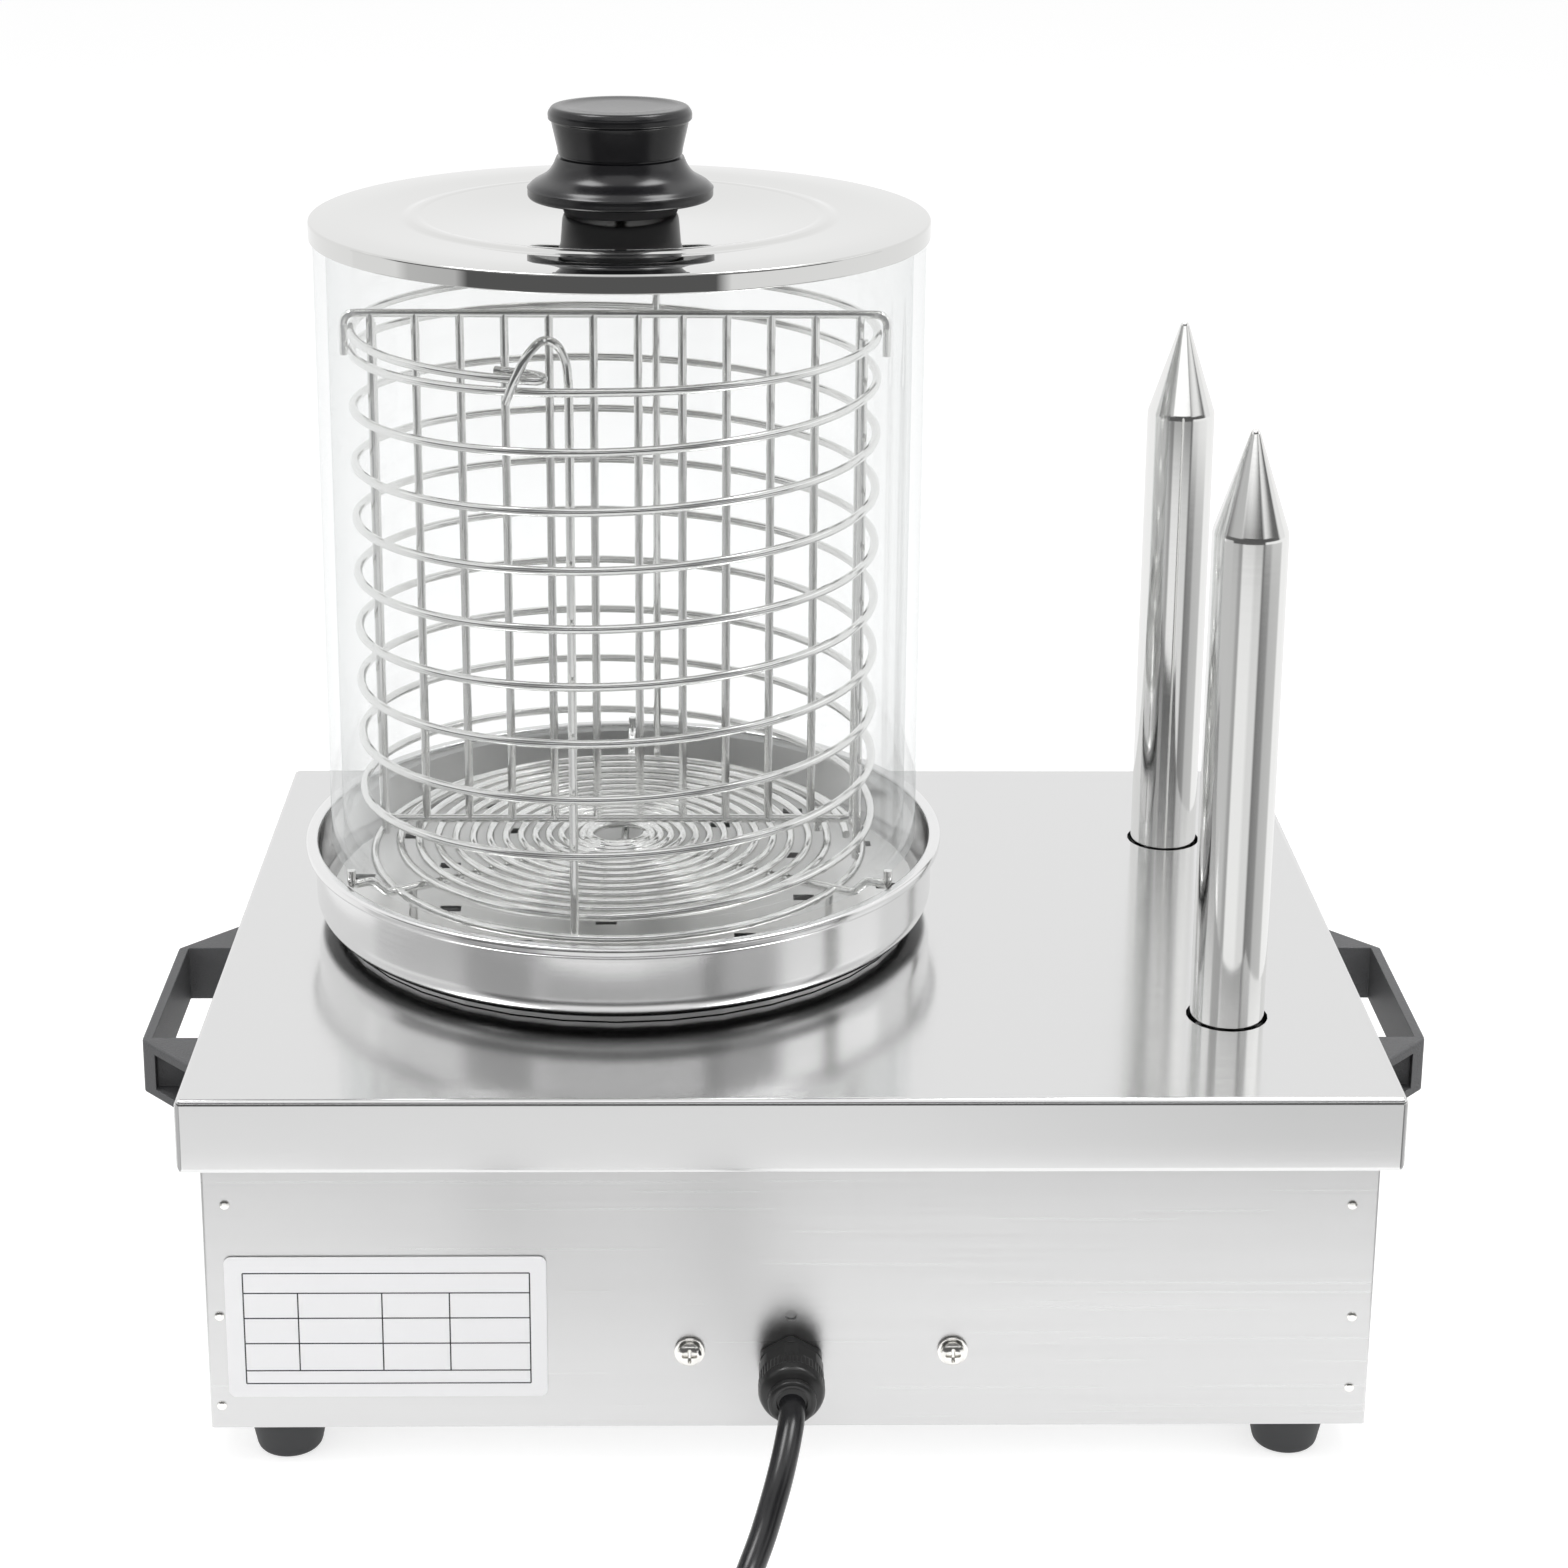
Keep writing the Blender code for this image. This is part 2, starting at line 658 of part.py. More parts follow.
def panel_hole(name, radius, x, z, side):
    """A round cutter through the rear or the front wall."""
    return rod(
        name,
        radius,
        (x, side * (WALL_Y - SHEET - OVERRUN), z),
        (x, side * (WALL_Y + OVERRUN), z),
    )


cut(
    base_shell,
    panel_hole("gland_hole", GLAND_BARREL_RADIUS + GAP, 0, GLAND_HEIGHT, -1),
)
cut(
    base_shell,
    panel_hole("relief_hole", RELIEF_HOLE_RADIUS, 0, RELIEF_HOLE_HEIGHT, -1),
)
for side_name, screw_x in (("left", REAR_SCREW_LEFT_X), ("right", REAR_SCREW_RIGHT_X)):
    cut(
        base_shell,
        panel_hole(
            side_name + "_screw_hole",
            REAR_SCREW_RADIUS + GAP,
            screw_x,
            REAR_SCREW_HEIGHT,
            -1,
        ),
    )
cut(
    base_shell,
    panel_hole(
        "shaft_hole",
        THERMOSTAT_NECK_RADIUS + GAP,
        AXIS_X,
        KNOB_HEIGHT_ON_PANEL,
        1,
    ),
)
for switch_x in (HEAT_SWITCH_X, SPIKE_SWITCH_X):
    cut(
        base_shell,
        block(
            "switch_opening",
            (
                switch_x - SWITCH_BODY_WIDTH / 2 - GAP,
                WALL_Y - SHEET - OVERRUN,
                SWITCH_HEIGHT - SWITCH_BODY_HEIGHT / 2 - GAP,
            ),
            (
                switch_x + SWITCH_BODY_WIDTH / 2 + GAP,
                WALL_Y + OVERRUN,
                SWITCH_HEIGHT + SWITCH_BODY_HEIGHT / 2 + GAP,
            ),
        ),
    )
    cut(
        base_shell,
        panel_hole("lamp_hole", LAMP_BARREL_RADIUS + GAP, switch_x, LAMP_HEIGHT, 1),
    )
part(base_shell, steel("body_steel", 0.35))

# Bottom plate: lies on the shell's lower lip, with vents and holes for the feet
bottom_plate = block(
    "bottom_plate",
    (-WALL_X + SHEET + GAP, -WALL_Y + SHEET + GAP, BOTTOM_PLATE_Z),
    (WALL_X - SHEET - GAP, WALL_Y - SHEET - GAP, BOTTOM_PLATE_TOP),
)
vent_places = []
for row in range(VENT_COUNT):
    for column in (-1, 0, 1):
        vent_x = column * (VENT_LENGTH + VENT_PITCH)
        vent_y = (row - (VENT_COUNT - 1) / 2) * VENT_PITCH
        vent_places.append(
            (
                (vent_x, vent_y, (BOTTOM_PLATE_Z + BOTTOM_PLATE_TOP) / 2),
                (VENT_LENGTH, VENT_WIDTH, BOTTOM_SHEET + OVERRUN),
                0,
            )
        )
cut(bottom_plate, blocks("vents", vent_places))

FOOT_X = WALL_X - FOOT_INSET_X
FOOT_Y = WALL_Y - FOOT_INSET_Y
for foot_name, sign_x, sign_y in (
    ("left_rear_foot", -1, -1),
    ("right_rear_foot", 1, -1),
    ("left_front_foot", -1, 1),
    ("right_front_foot", 1, 1),
):
    foot_x = sign_x * FOOT_X
    foot_y = sign_y * FOOT_Y
    cut(
        bottom_plate,
        rod(
            foot_name + "_hole",
            FOOT_STEM_RADIUS + GAP,
            (foot_x, foot_y, BOTTOM_PLATE_Z - OVERRUN),
            (foot_x, foot_y, BOTTOM_PLATE_TOP + OVERRUN),
        ),
    )
    head_bottom = BOTTOM_PLATE_TOP + GAP
    foot = turned(
        foot_name,
        [
            (0, head_bottom + FOOT_HEAD_HEIGHT),
            (FOOT_STEM_RADIUS, head_bottom + FOOT_HEAD_HEIGHT),
            (FOOT_HEAD_RADIUS, head_bottom),
            (FOOT_STEM_RADIUS, head_bottom),
            (FOOT_STEM_RADIUS, FOOT_HEIGHT),
            (FOOT_TOP_RADIUS, FOOT_HEIGHT),
            (FOOT_BOTTOM_RADIUS, FOOT_ROUNDING),
            (FOOT_BOTTOM_RADIUS - FOOT_ROUNDING, 0),
            (0, 0),
        ],
        (foot_x, foot_y, 0),
        SMALL_SIDES,
    )
    part(foot, paint(foot_name, (0.035, 0.035, 0.037), 0.75))
part(bottom_plate, steel("bottom_plate_steel", 0.4))

# Top cover: one sheet folded down on all four sides
top_cover = block(
    "top_cover",
    (-COVER_WIDTH / 2, -COVER_DEPTH / 2, COVER_TOP - APRON),
    (COVER_WIDTH / 2, COVER_DEPTH / 2, COVER_TOP),
    COVER_CORNER,
)
cut(
    top_cover,
    block(
        "cover_inside",
        (-COVER_WIDTH / 2 + SHEET, -COVER_DEPTH / 2 + SHEET, COVER_TOP - APRON - OVERRUN),
        (COVER_WIDTH / 2 - SHEET, COVER_DEPTH / 2 - SHEET, COVER_UNDER),
    ),
)
cut(
    top_cover,
    rod(
        "hot_plate_hole",
        HOT_PLATE_SPIGOT_RADIUS + GAP,
        (AXIS_X, AXIS_Y, COVER_UNDER - OVERRUN),
        (AXIS_X, AXIS_Y, COVER_TOP + OVERRUN),
        FINE_SIDES,
    ),
)
for spike_name, spike_y in (("rear", REAR_SPIKE_Y), ("front", FRONT_SPIKE_Y)):
    cut(
        top_cover,
        rod(
            spike_name + "_spike_hole",
            SPIKE_RADIUS + SPIKE_HOLE_CLEARANCE,
            (SPIKE_X, spike_y, COVER_UNDER - OVERRUN),
            (SPIKE_X, spike_y, COVER_TOP + OVERRUN),
            ROUND_SIDES,
        ),
    )
part(top_cover, steel("cover_steel", 0.22))

# Handles: a trapezoid with a finger opening, hollow in the sloped faces of its two legs
for handle_name, side in (("left_handle", -1), ("right_handle", 1)):
    root = WALL_X + GAP
    tip = WALL_X + HANDLE_REACH
    outline = [
        (side * root, -HANDLE_WALL_LENGTH / 2),
        (side * tip, -HANDLE_GRIP_LENGTH / 2),
        (side * tip, HANDLE_GRIP_LENGTH / 2),
        (side * root, HANDLE_WALL_LENGTH / 2),
    ]
    handle = as_mesh(flat(handle_name, [outline], HANDLE_HEIGHT))
    handle.location = (0, 0, HANDLE_CENTRE)
    bevel = handle.modifiers.new("rounding", "BEVEL")
    bevel.width = HANDLE_ROUNDING
    bevel.segments = 2
    grip_inner = tip - HANDLE_GRIP_WALL
    half_opening = HANDLE_OPENING_LENGTH / 2
    low_x, high_x = sorted((side * (root - OVERRUN), side * grip_inner))
    half_height = HANDLE_HEIGHT / 2
    cut(
        handle,
        block(
            handle_name + "_opening",
            (low_x, -half_opening, HANDLE_CENTRE - half_height - OVERRUN),
            (high_x, half_opening, HANDLE_CENTRE + half_height + OVERRUN),
        ),
    )
    low_x, high_x = sorted(
        (side * (root + HANDLE_ROOT_WALL), side * (tip - HANDLE_POCKET_END))
    )
    for end in (-1, 1):
        low_y, high_y = sorted(
            (end * (half_opening + HANDLE_SIDE_WALL), end * HANDLE_WALL_LENGTH)
        )
        cut(
            handle,
            block(
                handle_name + "_pocket",
                (low_x, low_y, HANDLE_CENTRE - half_height + HANDLE_PLATE),
                (high_x, high_y, HANDLE_CENTRE + half_height - HANDLE_PLATE),
            ),
        )
    part(handle, paint(handle_name, (0.05, 0.05, 0.052), 0.55))

# Rating plate, blank
rating_plate = block(
    "rating_plate",
    (
        PLATE_CENTRE_X - PLATE_WIDTH / 2,
        -WALL_Y - GAP - PLATE_SHEET,
        PLATE_CENTRE_Z - PLATE_HEIGHT / 2,
    ),
    (
        PLATE_CENTRE_X + PLATE_WIDTH / 2,
        -WALL_Y - GAP,
        PLATE_CENTRE_Z + PLATE_HEIGHT / 2,
    ),
)
part(rating_plate, paint("rating_plate", (0.80, 0.80, 0.80), 0.4))

# Cord gland: threaded body through the rear wall, a nut outside and a locknut inside
CORD_BORE = CORD_RADIUS * GLAND_BORE_SHARE
gland_body = turned(
    "gland_body",
    [
        (GLAND_BARREL_RADIUS, GLAND_FLANGE + GLAND_OUTER_LENGTH),
        (GLAND_BARREL_RADIUS, GLAND_FLANGE),
        (GLAND_FLANGE_RADIUS, GLAND_FLANGE),
        (GLAND_FLANGE_RADIUS, GAP),
        (GLAND_BARREL_RADIUS, GAP),
        (GLAND_BARREL_RADIUS, -SHEET - GLAND_INNER_LENGTH),
        (CORD_BORE, -SHEET - GLAND_INNER_LENGTH),
        (CORD_BORE, GLAND_FLANGE + GLAND_OUTER_LENGTH),
    ],
    (0, -WALL_Y, GLAND_HEIGHT),
    SMALL_SIDES,
    True,
    TO_REAR,
)
part(gland_body, paint("gland_body", (0.03, 0.03, 0.03), 0.45))
nut_start = GLAND_FLANGE + GAP
nut_seat = GLAND_FLANGE + GLAND_OUTER_LENGTH + GAP
nut_end = nut_start + GLAND_NUT_SKIRT + GLAND_NUT_DOME
nut_bore = GLAND_BARREL_RADIUS + GAP
gland_nut = turned(
    "gland_nut",
    [
        (GLAND_NOSE_RADIUS, nut_end),
        (GLAND_NUT_RADIUS - GLAND_NUT_WALL / 2, nut_start + GLAND_NUT_SKIRT + GLAND_NUT_WALL),
        (GLAND_NUT_RADIUS, nut_start + GLAND_NUT_SKIRT),
        (GLAND_NUT_RADIUS, nut_start),
        (nut_bore, nut_start),
        (nut_bore, nut_seat),
        (CORD_BORE, nut_seat),
        (CORD_BORE, nut_end),
    ],
    (0, -WALL_Y, GLAND_HEIGHT),
    SMALL_SIDES,
    True,
    TO_REAR,
)
part(gland_nut, paint("gland_nut", (0.03, 0.03, 0.03), 0.4))
locknut_face = -SHEET - GAP
gland_locknut = turned(
    "gland_locknut",
    [
        (LOCKNUT_RADIUS, locknut_face),
        (LOCKNUT_RADIUS, locknut_face - LOCKNUT_HEIGHT),
        (GLAND_BARREL_RADIUS + GAP, locknut_face - LOCKNUT_HEIGHT),
        (GLAND_BARREL_RADIUS + GAP, locknut_face),
    ],
    (0, -WALL_Y, GLAND_HEIGHT),
    SMALL_SIDES,
    True,
    TO_REAR,
)
part(gland_locknut, paint("gland_locknut", (0.03, 0.03, 0.03), 0.45))

# Two cross-slotted screws with washers beside the gland
for screw_name, screw_x in (
    ("left_rear_screw", REAR_SCREW_LEFT_X),
    ("right_rear_screw", REAR_SCREW_RIGHT_X),
):
    washer = turned(
        screw_name.replace("screw", "washer"),
        [
            (WASHER_RADIUS, GAP + WASHER_HEIGHT),
            (WASHER_RADIUS, GAP),
            (REAR_SCREW_RADIUS + GAP, GAP),
            (REAR_SCREW_RADIUS + GAP, GAP + WASHER_HEIGHT),
        ],
        (screw_x, -WALL_Y, REAR_SCREW_HEIGHT),
        SMALL_SIDES,
        True,
        TO_REAR,
    )
    part(washer, steel(washer.name, 0.3))
    head_seat = GAP * 2 + WASHER_HEIGHT
    screw = turned(
        screw_name,
        [
            (0, head_seat + REAR_HEAD_HEIGHT),
            (REAR_HEAD_RADIUS / 2, head_seat + REAR_HEAD_HEIGHT),
            (REAR_HEAD_RADIUS, head_seat + REAR_HEAD_HEIGHT / 2),
            (REAR_HEAD_RADIUS, head_seat),
            (REAR_SCREW_RADIUS, head_seat),
            (REAR_SCREW_RADIUS, head_seat - REAR_SCREW_LENGTH),
            (0, head_seat - REAR_SCREW_LENGTH),
        ],
        (screw_x, -WALL_Y, REAR_SCREW_HEIGHT),
        SMALL_SIDES,
        False,
        TO_REAR,
    )
    slot_y = -WALL_Y - head_seat - REAR_HEAD_HEIGHT
    slot_centre = (screw_x, slot_y, REAR_SCREW_HEIGHT)
    cross = blocks(
        screw_name + "_cross",
        [(slot_centre, (SLOT_LENGTH, SLOT_DEPTH * 2, SLOT_WIDTH), 0)],
    )
    cut(screw, cross)
    cross = blocks(
        screw_name + "_cross",
        [(slot_centre, (SLOT_WIDTH, SLOT_DEPTH * 2 - GAP, SLOT_LENGTH), 0)],
    )
    cut(screw, cross)
    part(screw, steel(screw_name, 0.25))

# Terminal bracket: an upright held by the two rear screws, cut round the locknut, and a shelf
inner_wall = -WALL_Y + SHEET + GAP
bracket_left = REAR_SCREW_LEFT_X - BRACKET_MARGIN
bracket_right = REAR_SCREW_RIGHT_X + BRACKET_MARGIN
bracket_bottom = REAR_SCREW_HEIGHT - BRACKET_BOTTOM_MARGIN
terminal_bracket = block(
    "terminal_bracket",
    (bracket_left, inner_wall, bracket_bottom),
    (bracket_right, inner_wall + BRACKET_SHELF, BRACKET_TOP),
)
cut(
    terminal_bracket,
    block(
        "bracket_inside",
        (bracket_left - OVERRUN, inner_wall + BRACKET_SHEET, bracket_bottom - OVERRUN),
        (
            bracket_right + OVERRUN,
            inner_wall + BRACKET_SHELF + OVERRUN,
            BRACKET_TOP - BRACKET_SHEET,
        ),
    ),
)
cut(
    terminal_bracket,
    rod(
        "locknut_clearance",
        LOCKNUT_RADIUS + BRACKET_SHEET,
        (0, inner_wall - OVERRUN, GLAND_HEIGHT),
        (0, inner_wall + BRACKET_SHEET + OVERRUN, GLAND_HEIGHT),
    ),
)
for screw_x in (REAR_SCREW_LEFT_X, REAR_SCREW_RIGHT_X):
    cut(
        terminal_bracket,
        rod(
            "bracket_hole",
            REAR_SCREW_RADIUS + GAP,
            (screw_x, inner_wall - OVERRUN, REAR_SCREW_HEIGHT),
            (screw_x, inner_wall + BRACKET_SHEET + OVERRUN, REAR_SCREW_HEIGHT),
            TINY_SIDES,
        ),
    )
part(terminal_bracket, steel("terminal_bracket", 0.4))

# Terminal block on the shelf
block_x = (bracket_left + bracket_right) / 2
block_back = inner_wall + BRACKET_SHELF - BLOCK_DEPTH
block_bottom = BRACKET_TOP + GAP
terminal_block = block(
    "terminal_block",
    (block_x - BLOCK_WIDTH / 2, block_back, block_bottom),
    (block_x + BLOCK_WIDTH / 2, block_back + BLOCK_DEPTH, block_bottom + BLOCK_HEIGHT),
    BLOCK_CHAMFER,
    1,
)
for pole in range(BLOCK_POLES):
    pole_x = block_x + (pole - (BLOCK_POLES - 1) / 2) * BLOCK_WIDTH / (BLOCK_POLES + 1)
    for row_share in (0.25, 0.75):
        well_y = block_back + BLOCK_DEPTH * row_share
        well_top = block_bottom + BLOCK_HEIGHT
        cut(
            terminal_block,
            rod(
                "well",
                BLOCK_WELL_RADIUS,
                (pole_x, well_y, well_top - BLOCK_WELL_DEPTH),
                (pole_x, well_y, well_top + OVERRUN),
                TINY_SIDES,
            ),
        )
part(terminal_block, paint("terminal_block", (0.85, 0.84, 0.78), 0.5))

# Supply lead inside, from the gland round the shelf to the terminal block
lead_start_y = -WALL_Y + SHEET + GLAND_INNER_LENGTH + GAP
lead_turn_y = block_back + BLOCK_DEPTH + LEAD_RUN / 2
lead_end_y = block_back + BLOCK_DEPTH + GAP
lead_end_z = block_bottom + BLOCK_HEIGHT / 2
lead_middle_z = (GLAND_HEIGHT + lead_end_z) / 2
supply_lead = tube(
    "supply_lead",
    smooth_route(
        [
            (0, lead_start_y, GLAND_HEIGHT),
            (0, (lead_start_y + lead_turn_y) / 2, GLAND_HEIGHT),
            (0, lead_turn_y, GLAND_HEIGHT),
            (block_x / 2, lead_turn_y + LEAD_RUN / 2, lead_middle_z),
            (block_x, lead_turn_y, lead_end_z),
            (block_x, lead_end_y, lead_end_z),
        ],
        4,
    ),
    CORD_RADIUS,
    LEAD_SIDES_LEVEL,
)
part(supply_lead, paint("supply_lead", (0.02, 0.02, 0.02), 0.35))

# Hot plate: its lip lies on the cover and its thick middle hangs through the cover's hole
stud_bottom = (
    HOT_PLATE_UNDER
    - ELEMENT_TUBE * 2
    - CLAMP_SHEET
    - CLAMP_NUT_HEIGHT
    - STUD_TAIL
    - GAP * 3
)
heating_plate = turned(
    "heating_plate",
    [
        (0, HOT_PLATE_TOP),
        (HOT_PLATE_RADIUS, HOT_PLATE_TOP),
        (HOT_PLATE_RADIUS, HOT_PLATE_TOP - HOT_PLATE_LIP),
        (HOT_PLATE_SPIGOT_RADIUS, HOT_PLATE_TOP - HOT_PLATE_LIP),
        (HOT_PLATE_SPIGOT_RADIUS, HOT_PLATE_UNDER),
        (CENTRE_STUD_RADIUS, HOT_PLATE_UNDER),
        (CENTRE_STUD_RADIUS, stud_bottom),
        (0, stud_bottom),
    ],
    (AXIS_X, AXIS_Y, 0),
    FINE_SIDES,
)
part(heating_plate, paint("heating_plate", (0.62, 0.62, 0.62), 0.4, 1.0))

# Ring element: an open ring whose two ends turn down
element_z = HOT_PLATE_UNDER - GAP - ELEMENT_TUBE
element_points = []
element_start = math.radians(90) + ELEMENT_OPENING_ANGLE / 2
element_sweep = math.radians(360) - ELEMENT_OPENING_ANGLE
for step in range(ROUND_SIDES - 3):
    angle = element_start + element_sweep * step / (ROUND_SIDES - 4)
    element_points.append(
        polar(ELEMENT_RADIUS, angle, element_z, (AXIS_X, AXIS_Y))
    )
first_end = element_points[0] - Vector((0, 0, ELEMENT_LEG))
last_end = element_points[-1] - Vector((0, 0, ELEMENT_LEG))
element_points = (
    [first_end]
    + rounded_corner(first_end, element_points[0], element_points[1], ELEMENT_TUBE, 2)[:2]
    + element_points[1:-1]
    + rounded_corner(element_points[-2], element_points[-1], last_end, ELEMENT_TUBE, 2)[1:]
    + [last_end]
)
heating_element = tube("heating_element", element_points, ELEMENT_TUBE, 1)
part(heating_element, steel("heating_element", 0.45))

# Clamp strip under the element, with its nut on the hot plate's centre stud
clamp_top = element_z - ELEMENT_TUBE - GAP
element_clamp = block(
    "element_clamp",
    (AXIS_X - CLAMP_LENGTH / 2, AXIS_Y - CLAMP_WIDTH / 2, clamp_top - CLAMP_SHEET),
    (AXIS_X + CLAMP_LENGTH / 2, AXIS_Y + CLAMP_WIDTH / 2, clamp_top),
)
cut(
    element_clamp,
    rod(
        "clamp_hole",
        CENTRE_STUD_RADIUS + GAP,
        (AXIS_X, AXIS_Y, clamp_top - CLAMP_SHEET - OVERRUN),
        (AXIS_X, AXIS_Y, clamp_top + OVERRUN),
    ),
)
part(element_clamp, steel("element_clamp", 0.4))
clamp_nut_top = clamp_top - CLAMP_SHEET - GAP
clamp_nut = turned(
    "clamp_nut",
    [
        (CLAMP_NUT_RADIUS, clamp_nut_top),
        (CLAMP_NUT_RADIUS, clamp_nut_top - CLAMP_NUT_HEIGHT),
        (CENTRE_STUD_RADIUS * CLAMP_NUT_BORE_SHARE, clamp_nut_top - CLAMP_NUT_HEIGHT),
        (CENTRE_STUD_RADIUS * CLAMP_NUT_BORE_SHARE, clamp_nut_top),
    ],
    (AXIS_X, AXIS_Y, 0),
    HEX_SIDES,
    True,
)
part(clamp_nut, steel("clamp_nut", 0.3))

# Thermal cut-out against the hot plate, inside the ring
cutout_top = HOT_PLATE_UNDER - GAP
thermal_cutout = turned(
    "thermal_cutout",
    [
        (0, cutout_top),
        (CUTOUT_FLANGE_RADIUS, cutout_top),
        (CUTOUT_FLANGE_RADIUS, cutout_top - CUTOUT_FLANGE),
        (CUTOUT_RADIUS, cutout_top - CUTOUT_FLANGE),
        (CUTOUT_RADIUS, cutout_top - CUTOUT_HEIGHT),
        (0, cutout_top - CUTOUT_HEIGHT),
    ],
    (AXIS_X, AXIS_Y - CUTOUT_OFFSET, 0),
    SMALL_SIDES,
)
part(thermal_cutout, paint("thermal_cutout", (0.12, 0.08, 0.05), 0.5))

# Thermostat bulb against the hot plate, inside the ring
bulb_z = HOT_PLATE_UNDER - GAP - BULB_RADIUS
thermostat_bulb = rod(
    "thermostat_bulb",
    BULB_RADIUS,
    (AXIS_X - BULB_OFFSET, AXIS_Y - BULB_LENGTH / 2, bulb_z),
    (AXIS_X - BULB_OFFSET, AXIS_Y + BULB_LENGTH / 2, bulb_z),
    TINY_SIDES,
)
part(thermostat_bulb, paint("thermostat_bulb", (0.72, 0.42, 0.28), 0.35, 1.0))

# Thermostat behind the front wall, with a neck through it
thermostat_front = WALL_Y - SHEET - GAP
thermostat_body = block(
    "thermostat_body",
    (
        AXIS_X - THERMOSTAT_WIDTH / 2,
        thermostat_front - THERMOSTAT_DEPTH,
        KNOB_HEIGHT_ON_PANEL - THERMOSTAT_HEIGHT / 2,
    ),
    (
        AXIS_X + THERMOSTAT_WIDTH / 2,
        thermostat_front,
        KNOB_HEIGHT_ON_PANEL + THERMOSTAT_HEIGHT / 2,
    ),
    BLOCK_CHAMFER,
    1,
)
join(
    thermostat_body,
    rod(
        "thermostat_neck",
        THERMOSTAT_NECK_RADIUS,
        (AXIS_X, thermostat_front - OVERRUN, KNOB_HEIGHT_ON_PANEL),
        (AXIS_X, WALL_Y + DIAL_SHEET, KNOB_HEIGHT_ON_PANEL),
    ),
)
cut(
    thermostat_body,
    rod(
        "shaft_bore",
        SHAFT_RADIUS + GAP,
        (AXIS_X, thermostat_front - SHAFT_INTO_BODY - GAP, KNOB_HEIGHT_ON_PANEL),
        (AXIS_X, WALL_Y + OVERRUN, KNOB_HEIGHT_ON_PANEL),
    ),
)
part(thermostat_body, paint("thermostat_body", (0.30, 0.16, 0.10), 0.5))

# Capillary from the thermostat to its bulb, passing under the ring element
capillary_start_y = thermostat_front - THERMOSTAT_DEPTH * 0.5
capillary_low_z = clamp_top - CLAMP_NUT_HEIGHT
thermostat_top = KNOB_HEIGHT_ON_PANEL + THERMOSTAT_HEIGHT / 2
ring_rear_y = AXIS_Y + ELEMENT_RADIUS
capillary_tube = tube(
    "capillary_tube",
    smooth_route(
        [
            (AXIS_X - BULB_OFFSET / 2, capillary_start_y, thermostat_top + GAP * 2),
            (AXIS_X - BULB_OFFSET / 2, capillary_start_y, thermostat_top + BULB_RADIUS * 2),
            (
                AXIS_X - BULB_OFFSET,
                (capillary_start_y + ring_rear_y) / 2,
                capillary_low_z - BULB_RADIUS,
            ),
            (AXIS_X - BULB_OFFSET, ring_rear_y, capillary_low_z - BULB_RADIUS),
            (
                AXIS_X - BULB_OFFSET,
                AXIS_Y + BULB_LENGTH / 2 + BULB_RADIUS * 3,
                (bulb_z + capillary_low_z) / 2,
            ),
            (AXIS_X - BULB_OFFSET, AXIS_Y + BULB_LENGTH / 2 + GAP * 2, bulb_z),
        ],
        4,
    ),
    CAPILLARY_RADIUS,
    1,
)
part(capillary_tube, paint("capillary_tube", (0.72, 0.42, 0.28), 0.35, 1.0))

# Dial plate on the front wall
dial_plate = turned(
    "dial_plate",
    [
        (DIAL_RADIUS, GAP + DIAL_SHEET),
        (DIAL_RADIUS, GAP),
        (THERMOSTAT_NECK_RADIUS + GAP, GAP),
        (THERMOSTAT_NECK_RADIUS + GAP, GAP + DIAL_SHEET),
    ],
    (AXIS_X, WALL_Y, KNOB_HEIGHT_ON_PANEL),
    FINE_SIDES,
    True,
    TO_FRONT,
)
part(dial_plate, paint("dial_plate", (0.03, 0.03, 0.03), 0.4))

# Thermostat knob with a pointer ridge, and its shaft
knob_back = DIAL_SHEET + GAP * 3
knob_bore_end = knob_back + SHAFT_INTO_KNOB
thermostat_knob = turned(
    "thermostat_knob",
    [
        (0, knob_back + KNOB_LENGTH),
        (KNOB_GRIP_RADIUS - KNOB_EDGE, knob_back + KNOB_LENGTH),
        (KNOB_GRIP_RADIUS, knob_back + KNOB_LENGTH - KNOB_EDGE),
        (KNOB_GRIP_RADIUS + KNOB_EDGE / 2, knob_back + KNOB_SKIRT),
        (KNOB_SKIRT_RADIUS, knob_back + KNOB_SKIRT - KNOB_EDGE / 2),
        (KNOB_SKIRT_RADIUS, knob_back),
        (SHAFT_RADIUS + GAP, knob_back),
        (SHAFT_RADIUS + GAP, knob_bore_end),
        (0, knob_bore_end),
    ],
    (AXIS_X, WALL_Y, KNOB_HEIGHT_ON_PANEL),
    ROUND_SIDES,
    False,
    TO_FRONT,
)
join(
    thermostat_knob,
    block(
        "pointer_ridge",
        (
            AXIS_X - KNOB_RIDGE_WIDTH / 2,
            WALL_Y + knob_back + KNOB_SKIRT * 2,
            KNOB_HEIGHT_ON_PANEL + SHAFT_RADIUS + KNOB_EDGE,
        ),
        (
            AXIS_X + KNOB_RIDGE_WIDTH / 2,
            WALL_Y + knob_back + KNOB_LENGTH + KNOB_RIDGE_HEIGHT,
            KNOB_HEIGHT_ON_PANEL + KNOB_GRIP_RADIUS + KNOB_RIDGE_HEIGHT,
        ),
    ),
)
part(thermostat_knob, paint("thermostat_knob", (0.03, 0.03, 0.032), 0.4))
thermostat_shaft = rod(
    "thermostat_shaft",
    SHAFT_RADIUS,
    (AXIS_X, thermostat_front - SHAFT_INTO_BODY, KNOB_HEIGHT_ON_PANEL),
    (AXIS_X, WALL_Y + knob_bore_end - GAP, KNOB_HEIGHT_ON_PANEL),
    TINY_SIDES,
)
part(thermostat_shaft, steel("thermostat_shaft", 0.3))

